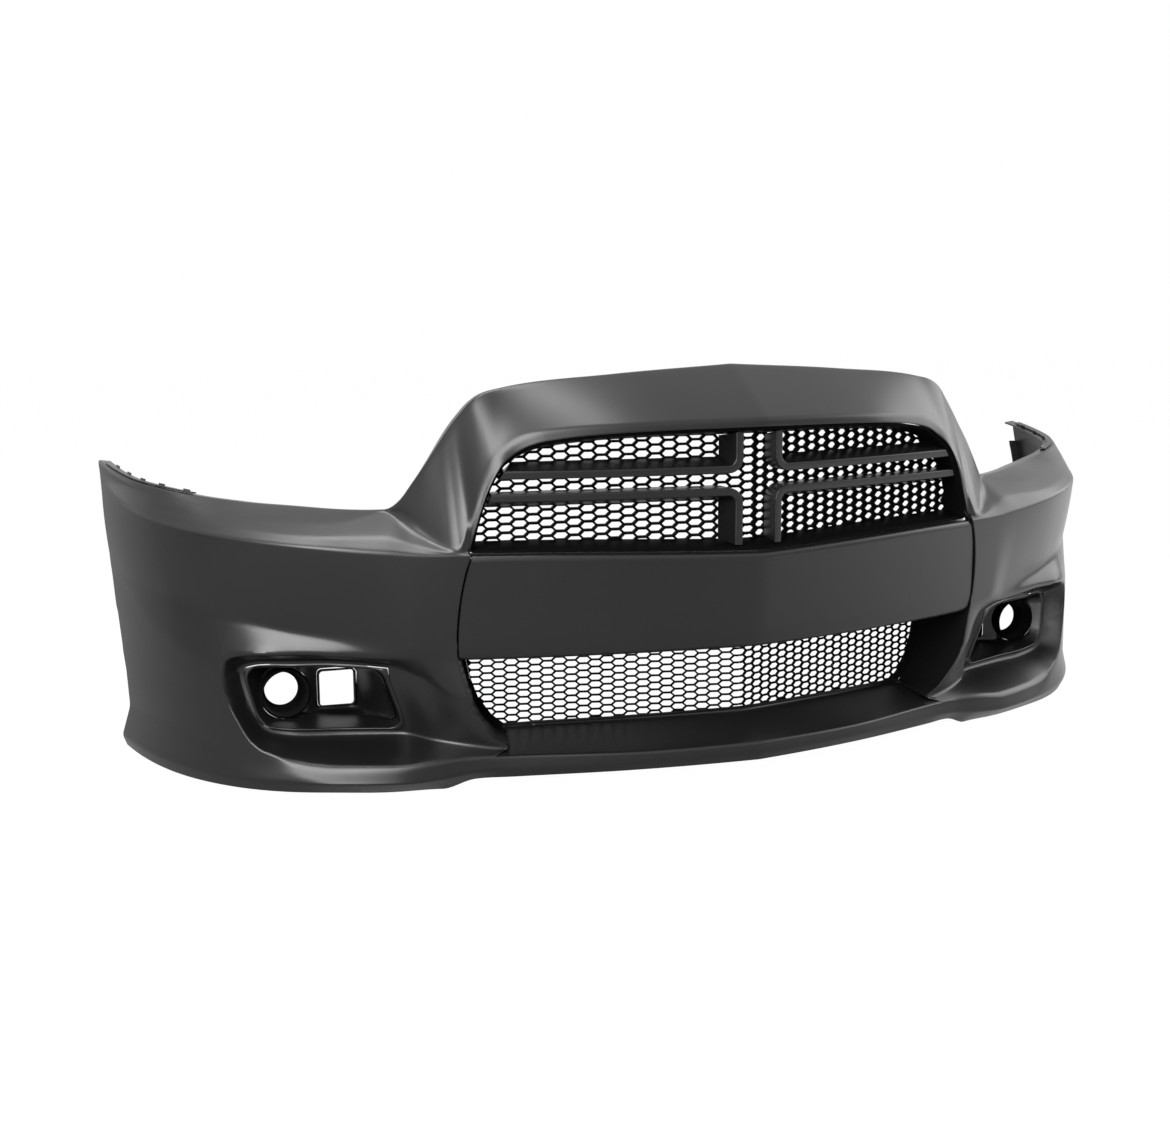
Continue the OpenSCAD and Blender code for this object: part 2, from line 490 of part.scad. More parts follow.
// Lower grille: a flat mesh on each side of the middle in its own frame, at the end of the tunnel.
low_angle = atan(low_slope);
low_top = 216;
low_half = [[0, 92], [100, 86.5], [200, 82], [300, 78.5], [363, 77], [380, 90], [402, 122], [412, 151],
    [418, 183], [420, low_top], [0, low_top]];
low_plane = on_plane(low_half, low_angle);
low_outline = [for (q = grow(low_plane, -fit)) [max(q[0], fit), q[1]]];
low_limit = grow(past_middle(low_plane), -2);

module lower_mesh_right() {
    color("black") lean(low_angle, nose_y + low_mesh_set + mesh_t) linear_extrude(mesh_t)
        mesh_plate(low_outline, low_limit, low_cell_x, low_cell_z, 150);
}
module lower_mesh_left() flip() lower_mesh_right();
function frame_path(d) = [for (q = grow(low_plane, d)) [q[0] < 1 ? fit : q[0], q[1]]];
module lower_frame_right() {
    color("dimgray") lean(low_angle, nose_y + low_mesh_set + mesh_t) linear_extrude(mesh_t + frame_lead)
        polygon(concat(frame_path(low_frame_h), [for (i = [len(low_plane) - 1 : -1 : 0]) frame_path(0)[i]]));
}
module lower_frame_left() flip() lower_frame_right();

// Fog lamp bezel: a cup in the opening of the skin, its lip over the edge of the opening.
bezel_out = bezel_wall + 3 * fit;
bezel_over = fit;
bezel_slope = 10;
bezel_turn = 4;
bezel_stations = [592, 606, 622, 640, 657, 676, 694, 712, 728, 745, 770, 794];
bezel_n = len(bezel_stations) + 2 * bezel_turn - 1;
bezel_m = 9;
// Station, depth: the funnel of the duct, then the lamp's dish.
duct_d = 75;
bezel_depth = [[lamp_a, 6, 0], [604, 28, 0], [657, duct_d, 0], [712, duct_d - 3, 0], [745, dish_d, 0],
    [fog_end_a, dish_d - 6, 0]];
// The lip's outer and inner ring, then the cup.
// Inset from the opening below, above, at the inner and at the outer end; corner radius.
bezel_rings = [[-bezel_over, 2 * fit, -bezel_over, fit, 3], concat(bezel_lip * [1, 1, 1, 1], [12]),
    concat(bezel_lip * [1, 1, 1, 1] + bezel_slope * [1, 0.5, 0.5, 0.5], [8])];
function bezel_row(s, lo, hi, up, o) = let(f = guide_at(foot, s, FOOT), p = guide_at(pocket, s, POCKET),
    d = norm(p - f), w = lerp(f, p, (lo + (d - lo - hi) * up) / d))
    place([shift(s, w[2], FOOT) + leaned(s, w[2], FOOT), w[1] + o, w[2]]);
function bezel_point(i, j) = let(k = min(i, j, bezel_n - i, bezel_m - j, 2), e = bezel_rings[k], r = e[4],
    g = min(90, 90 * (min(i, bezel_n - i) - k) / (bezel_turn - k)),
    d = r * (1 - cos(g)), c = r * (1 - sin(g)),
    s = i < bezel_turn ? lamp_a + e[2] + d : i > bezel_n - bezel_turn ? fog_end_a - e[3] - d
        : bezel_stations[i - bezel_turn])
    bezel_row(s, fillet[FOOT] + e[0] + c, fillet[POCKET] + e[1] + c, (j - k) / (bezel_m - 2 * k),
        k < 2 ? -bezel_out : follow(bezel_depth, s)[0]);
bezel_grid = [for (i = [0 : bezel_n]) [for (j = [0 : bezel_m]) bezel_point(i, j)]];
// The lamp and the duct keep their places on the corner: station and set-back.
fog_a = 756;
fog_set = 74;
duct_a = 679;
duct_set = 137;
fog_p = place([fog_a, fog_set, fog_z]);
duct_p = place([duct_a, duct_set, fog_z - 2]);
sleeve_wall = 3;

module along_y(p) translate(p) rotate([-90, 0, 0]) children();
module soft_square(w, h, r) {
    square([w - 2 * r, h], center = true);
    square([w, h - 2 * r], center = true);
    for (x = [-1, 1], y = [-1, 1]) translate([x * (w / 2 - r), y * (h / 2 - r)]) circle(r);
}
duct_r = 8;
duct_lean = 14;
duct_cut = 40;

module fog_bezel_right() {
    color("black") difference() {
        sheet(bezel_grid, bezel_wall);
        along_y(fog_p - [0, 3, 0]) cylinder(d = sleeve_d + 2 * fit, h = sleeve_l + 40);
        along_y(duct_p) cube([duct_w + 2 * fit, duct_h + 2 * fit, duct_cut], center = true);
    }
}
module fog_bezel_left() flip() fog_bezel_right();
module fog_sleeve_right() {
    color("black") along_y(fog_p) rotate_extrude() polygon([[sleeve_d / 2 - 4, 0], [sleeve_d / 2, 2],
        [sleeve_d / 2, sleeve_l], [lamp_d / 2, sleeve_l], [lamp_d / 2, sleeve_l - sleeve_wall],
        [lamp_d / 2 + 3, sleeve_l - sleeve_wall], [sleeve_d / 2 - sleeve_wall - 2, sleeve_l - 16]]);
}
module fog_sleeve_left() flip() fog_sleeve_right();
module brake_duct_right() {
    color("black") difference() {
        along_y(duct_p - [0, duct_l, 0]) linear_extrude(2 * duct_l) difference() {
            soft_square(duct_w, duct_h, duct_r);
            soft_square(duct_w - 5, duct_h - 5, duct_r - 2.5);
        }
        translate(duct_p) rotate([0, 0, duct_lean]) translate([0, -duct_l, 0])
            cube([2 * duct_w, 2 * duct_l, 2 * duct_h], center = true);
    }
}
module brake_duct_left() flip() brake_duct_right();

// Rail with upright clips on the top flange beside the fender.
rail_a0 = 935;
rail_step = 12;
rail_n = 20;
rail_t = 2;
rail_h = 3.5;
function rail_column(s) = let(a = shift(s, follow(top, s)[1], LAST), g = follow(top, a),
    up = 3.2 * fit + rail_t)
    [place([a, g[0] + 4, g[1] - 0.6 + up]), place([a, g[0] + top_flange - 6, g[1] - 2 + up]),
    place([a, g[0] + top_flange - 5, g[1] - 2 + up + rail_h])];

module fender_rail_right() {
    color("black") sheet([for (i = [0 : rail_n]) rail_column(rail_a0 + i * rail_step)], rail_t, 0,
        function(i, r) r == 1 && i % 4 != 1);
}
module fender_rail_left() flip() fender_rail_right();

// Fastening tabs with their holes.
tab_l = 40;
module tab(hole) {
    difference() {
        translate([0, tab_l / 2, tab_t / 2]) cube([tab_w, tab_l, tab_t], center = true);
        translate([0, tab_l - 16, -1]) cylinder(d = hole, h = tab_t + 2);
    }
}
function top_seat(x) = let(g = follow(top, x)) [x, nose_at(x) + g[0] + top_flange - 8, g[1] - 3];
module upper_tabs() {
    color("dimgray") for (x = [top_span / 2, top_inner_span / 2], m = [-1, 1]) {
        p = top_seat(x);
        translate([m * x, p[1], top_seat(x + tab_w / 2)[2] - wall - tab_t - 0.3]) tab(top_hole);
    }
}
function low_seat(x) = let(g = follow(bottom, x)) [x, nose_at(x) + g[0] + bottom_flange - 8, g[1]];
module lower_tabs() {
    color("dimgray") for (m = [-1, 1]) {
        p = low_seat(low_span / 2);
        translate([m * p[0], p[1], low_seat(low_span / 2 - tab_w / 2)[2] + wall + 0.6]) tab(low_hole);
    }
}
arch_z = 230;
arch_pitch = 60;
arch_w = 30;
arch_h = 100;
arch_p = place([follow(arch_line, arch_z)[0], 0, arch_z]);
module arch_tabs_right() {
    color("dimgray") translate([arch_p[0] - arch_flange - arch_w / 2 + fit, arch_p[1], arch_z]) difference() {
        cube([arch_w, tab_t, arch_h], center = true);
        for (m = [-1, 1]) along_y([0, -tab_t, m * arch_pitch / 2]) cylinder(d = side_hole, h = 2 * tab_t);
    }
}
module arch_tabs_left() flip() arch_tabs_right();

// Screw heads on the rear of the meshes.
head_d = 11;
head_h = 4;
head_in = 6;
top_screws = [30, 250];
sill_screws = [90, 300];
side_screws = [[407, 472], [428, 400]];
low_screws = [40, 220, 395];
module screw(angle, x, z, y) {
    translate([x, y, z]) rotate([0, 0, angle]) rotate([-90, 0, 0]) difference() {
        cylinder(d = head_d, h = head_h);
        translate([0, 0, head_h - 2]) cylinder(d = head_d / 2.4, h = 4, $fn = 6);
    }
}
module grille_screws() {
    color("silver") for (m = [-1, 1], q = concat([for (x = top_screws) [x, edge_z(x) - head_in]],
        side_screws, [for (x = sill_screws) [x, ridge_at(x) + head_in]]))
        screw(m * mesh_angle, m * q[0], q[1], mesh_y(q[0]) + mesh_t / cos(mesh_angle) + fit);
}
module mesh_screws() {
    color("silver") for (m = [-1, 1], x = low_screws)
        screw(m * low_angle, m * x, low_top - head_in, low_y(x) + mesh_t / cos(low_angle) + fit);
}

bumper_skin();
centre_panel();
grille_surround();
bar_upper_left();
bar_upper_right();
bar_lower_left();
bar_lower_right();
upper_mesh_left();
upper_mesh_right();
lower_mesh_left();
lower_mesh_right();
lower_frame_left();
lower_frame_right();
fog_bezel_left();
fog_bezel_right();
fog_sleeve_left();
fog_sleeve_right();
brake_duct_left();
brake_duct_right();
fender_rail_left();
fender_rail_right();
upper_tabs();
lower_tabs();
arch_tabs_left();
arch_tabs_right();
grille_screws();
mesh_screws();
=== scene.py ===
# %% [markdown]
# # A front bumper cover in satin black plastic
# The cover is one thin moulded shell that carries a grille, a centre panel, a lower mesh and two lamp bezels.
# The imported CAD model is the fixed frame: every piece made here sits where the CAD says, in metres.

# %% Load the frame and measure it
import math
from bisect import bisect_right

import bmesh
import bpy
import numpy as np
from mathutils import Matrix, Vector


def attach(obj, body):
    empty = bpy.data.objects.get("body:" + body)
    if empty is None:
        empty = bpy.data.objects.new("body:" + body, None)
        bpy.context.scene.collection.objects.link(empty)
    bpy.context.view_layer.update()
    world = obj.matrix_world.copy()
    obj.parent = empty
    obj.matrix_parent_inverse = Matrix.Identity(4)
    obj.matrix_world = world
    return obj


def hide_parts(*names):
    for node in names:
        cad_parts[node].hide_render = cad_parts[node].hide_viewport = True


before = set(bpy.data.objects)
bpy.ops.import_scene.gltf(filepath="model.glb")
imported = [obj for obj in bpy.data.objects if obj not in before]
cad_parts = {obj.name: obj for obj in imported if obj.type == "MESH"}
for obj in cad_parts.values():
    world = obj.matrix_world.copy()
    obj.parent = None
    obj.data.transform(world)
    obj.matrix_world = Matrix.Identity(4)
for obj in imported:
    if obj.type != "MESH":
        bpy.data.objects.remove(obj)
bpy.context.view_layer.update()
MM = 0.001


def show(name, data):
    """A new object in the scene, at the origin."""
    obj = bpy.data.objects.new(name, data)
    bpy.context.scene.collection.objects.link(obj)
    return obj


# %% [markdown]
# ## Camera
# A camera that matches a photograph needs the same place, the same turn and the same lens.
# The turn is written as three angles, and the camera's own axes are worked out from them,
# because a camera in Blender looks along its own -Z with +Y upwards.

# %% Make the camera
YAW, PITCH, ROLL = (math.radians(a) for a in (-22.2361, 10.0563, -0.3206))
CAMERA_AT, LENS, SENSOR = (-1.14931, -2.38081, 0.75191), 47.692, 36
level = Vector((math.cos(YAW), math.sin(YAW), 0))
ahead = Vector((-math.sin(YAW) * math.cos(PITCH), math.cos(YAW) * math.cos(PITCH), -math.sin(PITCH)))
above = level.cross(ahead)
cam_x = math.cos(ROLL) * level + math.sin(ROLL) * above
cam_y = math.cos(ROLL) * above - math.sin(ROLL) * level
lens = bpy.data.cameras.new("studio_camera")
lens.sensor_fit = "HORIZONTAL"
lens.sensor_width, lens.lens = SENSOR, LENS
camera = show("studio_camera", lens)
turned = Matrix((cam_x, cam_y, -ahead)).transposed().to_4x4()
camera.matrix_world = Matrix.Translation(Vector(CAMERA_AT)) @ turned
bpy.context.scene.camera = camera
bpy.context.scene.view_settings.view_transform = "Standard"
print("camera looks along", [round(x, 3) for x in ahead])

# %% [markdown]
# ## Floor, backdrop and light
# A product picture on white needs a white surround that does not wash out a black object.
# The world is white for the camera. For reflections it is a room, dim at the horizon in front and brighter
# towards the back and upwards, because satin black shows its form only where bright and dark parts meet in it.
# The floor glows for the camera, so it stays white and still takes a faint shadow.
# For reflections its glow rises towards the right, and a little towards the back.


# %% Build the studio
def add(tree, kind, values=(), **settings):
    """A new node with its settings and the values of its inputs."""
    node = tree.nodes.new(kind)
    for name, value in settings.items():
        setattr(node, name, value)
    for socket, value in dict(values).items():
        node.inputs[socket].default_value = value
    return node


def link(tree, a, out, b, into):
    tree.links.new(a.outputs[out], b.inputs[into])


def ramp(tree, source, out, span, values, **settings):
    """A node that maps a span of a value onto another span."""
    sockets = ("From Min", "From Max", "To Min", "To Max")
    node = add(tree, "ShaderNodeMapRange", zip(sockets, (*span, *values)), **settings)
    link(tree, source, out, node, "Value")
    return node


def coordinates(tree, kind):
    """The x, y and z of a place or a direction."""
    parts = add(tree, "ShaderNodeSeparateXYZ")
    link(tree, add(tree, "ShaderNodeTexCoord"), kind, parts, 0)
    return parts


def mix_shaders(tree, factor, first, second):
    mix = add(tree, "ShaderNodeMixShader")
    tree.links.new(factor, mix.inputs[0])
    link(tree, first, 0, mix, 1)
    link(tree, second, 0, mix, 2)
    return mix


def sees_through(tree, path):
    """A factor that is 1 for camera rays and for rays that pass through glass."""
    either = add(tree, "ShaderNodeMath", operation="MAXIMUM")
    link(tree, path, "Is Camera Ray", either, 0)
    link(tree, path, "Is Transmission Ray", either, 1)
    return either.outputs[0]


world = bpy.data.worlds.new("white_studio")
bpy.context.scene.world = world
world.use_nodes = True
sky = world.node_tree
sky.nodes.clear()


def background(strength):
    return add(sky, "ShaderNodeBackground", {"Color": (1, 1, 1, 1), "Strength": strength})


FILL, ROOM_FRONT, ROOM_BACK, ROOM_HIGH = 0.22, 0.35, 1.1, 1.0
FRONT_TO_BACK, LOW_TO_HIGH = (-0.2, 0.8), (-0.05, 0.5)
direction = coordinates(sky, "Generated")
horizon = ramp(sky, direction, "Y", FRONT_TO_BACK, (ROOM_FRONT, ROOM_BACK))
rise = ramp(sky, direction, "Z", LOW_TO_HIGH, (0, ROOM_HIGH), interpolation_type="SMOOTHSTEP")
link(sky, horizon, "Result", rise, "To Min")
mirrored_room = background(1.0)
link(sky, rise, "Result", mirrored_room, "Strength")
sky_path = add(sky, "ShaderNodeLightPath")
soft = mix_shaders(sky, sky_path.outputs["Is Glossy Ray"], background(FILL), mirrored_room)
seen = mix_shaders(sky, sees_through(sky, sky_path), soft, background(1.0))
link(sky, seen, 0, add(sky, "ShaderNodeOutputWorld"), 0)

REACH, FLOOR_Z = 14.0, -0.001
floor_mesh = bpy.data.meshes.new("floor")
corners = [(x * REACH, y * REACH, 0) for x, y in ((-1, -1), (1, -1), (1, 1), (-1, 1))]
floor_mesh.from_pydata(corners, [], [(0, 1, 2, 3)])
floor = show("floor", floor_mesh)
floor.location.z = FLOOR_Z
paper = bpy.data.materials.new("white_paper")
paper.use_nodes = True
paper_tree = paper.node_tree
paper_tree.nodes.clear()


def matt_paper(value):
    return add(paper_tree, "ShaderNodeBsdfDiffuse", {"Color": (value, value, value, 1)})


def glowing_paper(value, strength, source=None):
    glow = add(paper_tree, "ShaderNodeEmission", {"Strength": strength})
    if source is not None:
        link(paper_tree, source, 0, glow, "Strength")
    both = add(paper_tree, "ShaderNodeAddShader")
    link(paper_tree, matt_paper(value), 0, both, 0)
    link(paper_tree, glow, 0, both, 1)
    return both


GREY, MIRRORED_GREY, SEEN_GREY, GLOW_LEFT, GLOW_RIGHT, GLOW_BACK, GLOW_SEEN = 0.5, 0.25, 0.05, 0.3, 1.2, 0.12, 0.985
on_floor = coordinates(paper_tree, "Object")
lit_right = ramp(paper_tree, on_floor, "X", (0, 1.6), (GLOW_LEFT, GLOW_RIGHT))
lit_back = ramp(paper_tree, on_floor, "Y", (0.2, 1.6), (0, GLOW_BACK))
floor_glow = add(paper_tree, "ShaderNodeMath")
link(paper_tree, lit_right, "Result", floor_glow, 0)
link(paper_tree, lit_back, "Result", floor_glow, 1)
paper_path = add(paper_tree, "ShaderNodeLightPath")
plain = mix_shaders(paper_tree, paper_path.outputs["Is Glossy Ray"], matt_paper(GREY),
                    glowing_paper(MIRRORED_GREY, GLOW_LEFT, floor_glow))
shown = mix_shaders(paper_tree, sees_through(paper_tree, paper_path), plain, glowing_paper(SEEN_GREY, GLOW_SEEN))
link(paper_tree, shown, 0, add(paper_tree, "ShaderNodeOutputMaterial"), 0)
floor_mesh.materials.append(paper)


def softbox(name, at, aim, width, height, watts):
    lamp = bpy.data.lights.new(name, "AREA")
    lamp.shape = "RECTANGLE"
    lamp.size, lamp.size_y, lamp.energy = width, height, watts
    obj = show(name, lamp)
    obj.location = at
    obj.rotation_euler = (Vector(aim) - Vector(at)).to_track_quat("-Z", "Y").to_euler()


softbox("front_strip", (-2.2, -2.1, 1.85), (-0.6, -0.1, 0.4), 1.1, 3.0, 128)
softbox("top_box", (-0.7, 0.1, 2.7), (-0.7, 0.0, 0.4), 1.2, 0.9, 32)
softbox("right_box", (2.5, -0.2, 1.3), (0.4, -0.2, 0.5), 1.9, 1.7, 28)

# %% [markdown]
# ## Materials
# The shell and the grille are moulded in the same black plastic, left satin; pieces deep inside get a darker, matt
# copy as painted shade.
# Real mouldings have a very fine grain, slow changes in gloss where the melt flowed, and a few faint dull marks.
# Noise on Object coordinates gives all three at real scale, because every piece is modelled in metres.
# Seen at a flat angle even black plastic mirrors a white room. Walls that the room does not reach carry a mark
# called
# "inside", and there the shell's finish gives up its reflections, which is painted shade.

# %% Make the plastics and the steel
SATIN, FLOW_SCALE, SPECK_SCALE, SPECK_SHARE, GRAIN_DEPTH = 0.5, 5.5, 160.0, 0.35, 0.0003
TINTS, MIDDLE = (0.86, 1.14), (0.3, 0.7)


def plastic(name, colour, roughness, spread, grain, grain_size, level=SATIN):
    mat = bpy.data.materials.new(name)
    mat.use_nodes = True
    tree = mat.node_tree
    shader = tree.nodes["Principled BSDF"]
    shader.inputs["Specular IOR Level"].default_value = level
    where = add(tree, "ShaderNodeTexCoord")

    def noise(scale, detail):
        node = add(tree, "ShaderNodeTexNoise", {"Scale": scale, "Detail": detail})
        link(tree, where, "Object", node, "Vector")
        return node

    flow, specks, fine = noise(FLOW_SCALE, 3.0), noise(SPECK_SCALE, 2.0), noise(1.0 / grain_size, 2.0)
    shade = add(tree, "ShaderNodeVectorMath", {0: colour}, operation="SCALE")
    link(tree, ramp(tree, flow, "Fac", (0, 1), TINTS), "Result", shade, "Scale")
    link(tree, shade, "Vector", shader, "Base Color")
    mixed = add(tree, "ShaderNodeMix", {"Factor": SPECK_SHARE})
    link(tree, flow, "Fac", mixed, 2)
    link(tree, specks, "Fac", mixed, 3)
    gloss = ramp(tree, mixed, 0, MIDDLE, (roughness - spread, roughness + spread))
    link(tree, gloss, "Result", shader, "Roughness")
    bump = add(tree, "ShaderNodeBump", {"Strength": grain, "Distance": GRAIN_DEPTH})
    link(tree, fine, "Fac", bump, "Height")
    link(tree, bump, "Normal", shader, "Normal")
    return mat


SKIN = plastic("satin_black_skin", (0.007, 0.007, 0.0073), 0.32, 0.03, 0.06, 0.0009)
GRILLE = plastic("satin_black_grille", (0.006, 0.006, 0.0063), 0.34, 0.04, 0.10, 0.0008)
# Painted shade: a darker, nearly unreflecting copy of the black plastic for the surround, meshes, sleeves and
# ducts.
SHADE_MATT = plastic("matt_black_inside", (0.004, 0.004, 0.0043), 0.5, 0.05, 0.16, 0.0008, 0.012)
STEEL = plastic("dull_zinc_steel", (0.42, 0.42, 0.43), 0.36, 0.10, 0.08, 0.0012)
STEEL.node_tree.nodes["Principled BSDF"].inputs["Metallic"].default_value = 1.0
skin_tree = SKIN.node_tree
# Painted shade: the "inside" mark turns the specular level down to nothing, so marked walls lose their reflections.
inside = add(skin_tree, "ShaderNodeAttribute", attribute_name="inside")
painted_shade_level = ramp(skin_tree, inside, "Fac", (0, 1), (SATIN, 0.0))
link(skin_tree, painted_shade_level, "Result", skin_tree.nodes["Principled BSDF"], "Specular IOR Level")
print("materials:", [m.name for m in (SKIN, GRILLE, SHADE_MATT, STEEL)])

# %% [markdown]
# ## Lines that shape the shell
# A car body is drawn with feature lines: the lip, the brow, the ridge, the hood edge.
# Each line below is a short list of station, set-back behind the nose and height, in millimetres.
# A curve through the points that never overshoots keeps a flat stretch flat, which a plain spline would not.


# %% Draw the feature lines
def steps(t):
    t = min(max(t, 0.0), 1.0)
    return t * t * (3 - 2 * t)


def sign(x):
    return (x > 0) - (x < 0)


def smooth_line(points):
    """A function through the points: the first value in, the others out."""
    xs = [p[0] for p in points]
    rows = list(zip(*[p[1:] for p in points]))
    bends = []
    for ys in rows:
        d = [(ys[i + 1] - ys[i]) / (xs[i + 1] - xs[i]) for i in range(len(xs) - 1)]
        m = [d[0]]
        for i in range(1, len(d)):
            p, q, g, h = d[i - 1], d[i], xs[i] - xs[i - 1], xs[i + 1] - xs[i]
            m.append((sign(p) + sign(q)) * min(abs(p), abs(q), abs(p * h + q * g) / (2 * (g + h))))
        bends.append(m + [d[-1]])

    def at(a):
        a = min(max(a, xs[0]), xs[-1])
        i = min(bisect_right(xs, a) - 1, len(xs) - 2)
        h = xs[i + 1] - xs[i]
        t = (a - xs[i]) / h
        u = 1 - t
        return [u * u * (1 + 2 * t) * y[i] + t * u * u * h * m[i] + t * t * (3 - 2 * t) * y[i + 1]
                - t * t * u * h * m[i + 1] for y, m in zip(rows, bends)]
    return at


HALF_W, DEPTH, HOOD_Z, TIP_Z, WALL = 925, 612, 644, 486, 3
HOOD_BACK, GRILLE_TOP, RIDGE_Z, SILL = 125, 553, 371, 431
RIM_D, TOP_FLANGE, BOTTOM_FLANGE, ARCH_FLANGE, FIT = 20, 20, 40, 18, 0.4
END_A, GAP_A, WALL_A, LAMP_A, FOG_END_A, RECESS_A, ARCH_A = 1200, 450, 430, 574, 818, 826, 900
bottom = [(0, 15, 25), (200, 22, 22), (380, 34, 18), (435, 40, 15), (490, 40, 0), (560, 30, 0), (650, 14, 4),
          (720, 3, 6), (800, -3, 8), (950, -6, 13), (END_A, -4, 26)]
bevel = [(0, 9, 36), (200, 15, 34), (380, 28, 32), (440, 24, 30), (500, 8, 24), (560, -4, 22), (650, -5, 22),
         (800, -12, 26), (950, -14, 34), (END_A, -12, 44)]
flare = [(0, 8, 44), (200, 14, 42), (380, 29, 42), (440, 25, 41), (500, 8, 34), (560, -2.5, 28),
         (650, -3.6, 27), (720, -6, 37), (800, -6, 58), (895, -4, 74), (1000, -2, 88), (END_A, 0, 92)]
lip = [(0, 9, 54), (200, 15, 52), (380, 31, 52), (440, 27, 52), (500, 9, 52), (560, 2, 48), (650, 2, 48),
       (706, 0, 54), (752, -3, 64), (795, -5, 76), (820, -5, 98), (828, -5, 119), (834, -5, 136),
       (870, -4, 144), (END_A, 0, 150)]
foot = [(0, 77.5, 92), (200, 108.5, 82), (363, 119, 76), (382, 45, 61), (440, 50, 66), (500, 62, 72),
        (560, 85, 77), (650, 78, 78), (730, 58, 80), (785, 46, 84), (804, 40, 89), (815, 36, 98),
        (RECESS_A, 32, 126), (829, 14, 137), (833, -5, 148), (870, -4, 154), (END_A, 0, 180)]
pocket = [(0, 16, 150), (450, 16, 150), (520, 45, 177), (570, 58, 194), (650, 72, 198), (730, 54, 200),
          (785, 46, 199), (804, 40, 197), (815, 36, 194), (RECESS_A, 32, 186), (829, 14, 179), (833, -5, 174),
          (870, -4, 176), (900, -4, 180), (1000, -3, 205), (1080, -2, 240), (END_A, 0, 270)]
brow_lip = [(0, 17, 205), (450, 17, 205), (520, 23, 210), (583, 28, 210), (644, 22, 215), (707, 12, 219),
            (760, -2, 219), (800, -6, 216), (815, -6, 212), (RECESS_A, -5, 207), (833, -4, 202),
            (870, -4, 208), (933, -5, 226), (1012, -4, 254), (1080, -2, 284), (END_A, 0, 310)]
brow_crease = [(0, 16, 222), (450, 16, 222), (523, 16, 226), (582, 27, 232), (644, 30, 240), (742, 23, 253),
               (809, 14, 266), (881, 6, 281), (961, -2, 291), (1040, -3, 294), (END_A, 0, 330)]
ridge = [(0, 0, RIDGE_Z - 11), (446, 0, RIDGE_Z), (473, 0, RIDGE_Z), (574, 0, RIDGE_Z + 7),
         (690, -3, RIDGE_Z + 17), (790, -6, RIDGE_Z + 25), (880, -10, RIDGE_Z + 33), (967, -10, RIDGE_Z + 41),
         (1080, -6, RIDGE_Z + 53), (END_A, 0, TIP_Z - 46)]
edge = [(0, 5, GRILLE_TOP), (200, 7, GRILLE_TOP - 4), (330, 20, GRILLE_TOP - 16), (375, 26, GRILLE_TOP - 35),
        (400, 18, 496), (421, 14, 456), (438, 13, 402), (446, 12, RIDGE_Z + 9), (455, 8, RIDGE_Z + 5),
        (473, 4, RIDGE_Z + 5), (520, 14, RIDGE_Z + 14), (574, 22, RIDGE_Z + 27), (650, 14, RIDGE_Z + 28),
        (850, 8, RIDGE_Z + 43), (1000, -6, TIP_Z - 58), (END_A, 0, TIP_Z - 34)]
roll = [(0, 7, GRILLE_TOP + 13), (200, 10, GRILLE_TOP + 9), (330, 24, GRILLE_TOP - 1),
        (385, 30, GRILLE_TOP - 23), (412, 24, 500), (430, 18, 460), (446, 14, 412), (456, 8.5, RIDGE_Z + 19),
        (466, 9, RIDGE_Z + 11), (476, 13, RIDGE_Z + 11), (500, 28, RIDGE_Z + 19), (530, 47, RIDGE_Z + 35),
        (LAMP_A, 76, SILL - 3), (650, 52, SILL - 11), (729, 46, SILL - 9), (850, 36, SILL - 1),
        (922, 17, TIP_Z - 50), (1000, 1, TIP_Z - 42), (END_A, 0, TIP_Z - 20)]
top = [(0, HOOD_BACK, HOOD_Z), (200, HOOD_BACK - 20, HOOD_Z - 12), (374, HOOD_BACK - 35, HOOD_Z - 30),
       (406, HOOD_BACK - 42.2, HOOD_Z - 39), (421, 80, 594), (436, 80, 577), (473, 76, 536), (514, 70, 491),
       (533, 70, 469), (550, 71, 448), (LAMP_A, 80, SILL + 1), (600, 85, SILL), (729, 85, SILL + 5),
       (850, 70, SILL + 11), (922, 42, TIP_Z - 36), (996, 13, TIP_Z - 25), (1060, 3, TIP_Z - 18),
       (END_A, 0, TIP_Z)]
GUIDES = [smooth_line(g) for g in (bottom, bevel, flare, lip, foot, pocket, brow_lip, brow_crease, ridge,
                                   edge, roll, top)]
gap_line = smooth_line([(61, 382), (76, 405), (100, 427), (150, 450), (240, 467), (341, 456), (371, 447)])
arch_line = smooth_line([(25, 1115), (100, 1102), (200, 1124), (324, 1156), (TIP_Z, END_A)])
FOOT_LINE, POCKET_LINE, RIDGE_LINE, EDGE_LINE, TOP_LINE = (GUIDES[i] for i in (4, 5, 8, 9, 11))
print(len(GUIDES), "feature lines")

# %% [markdown]
# ## Plan of the nose
# Seen from above, the front is a bowed V, then a full corner, then the side that runs to the wheel arch.
# A station counts along this line.
# A point is placed by its station, its set-back square to the line and its height.

# %% Place points along the nose
NOSE_ANGLE, FRONT_R, CORNER_X, CORNER_FRONT, CORNER_SIDE, SIDE_ANGLE = 5.7, 2170, 560, 245, 265, 84
PANEL_SET = 3
nose_y = -DEPTH / 2 - PANEL_SET
tip_y = DEPTH / 2 - TOP_FLANGE * math.cos(math.radians(SIDE_ANGLE))
nose_tan = math.tan(math.radians(NOSE_ANGLE))
corner_turn = math.atan(nose_tan + CORNER_X / FRONT_R)


def nose_at(x):
    return nose_y + nose_tan * x + x * x / (2 * FRONT_R)


def heading_vector(angle):
    return np.array((math.cos(angle), math.sin(angle)))


B0 = np.array((CORNER_X, nose_at(CORNER_X)))
B3 = np.array((HALF_W, tip_y))
B1 = B0 + CORNER_FRONT * heading_vector(corner_turn)
B2 = B3 - CORNER_SIDE * heading_vector(math.radians(SIDE_ANGLE))


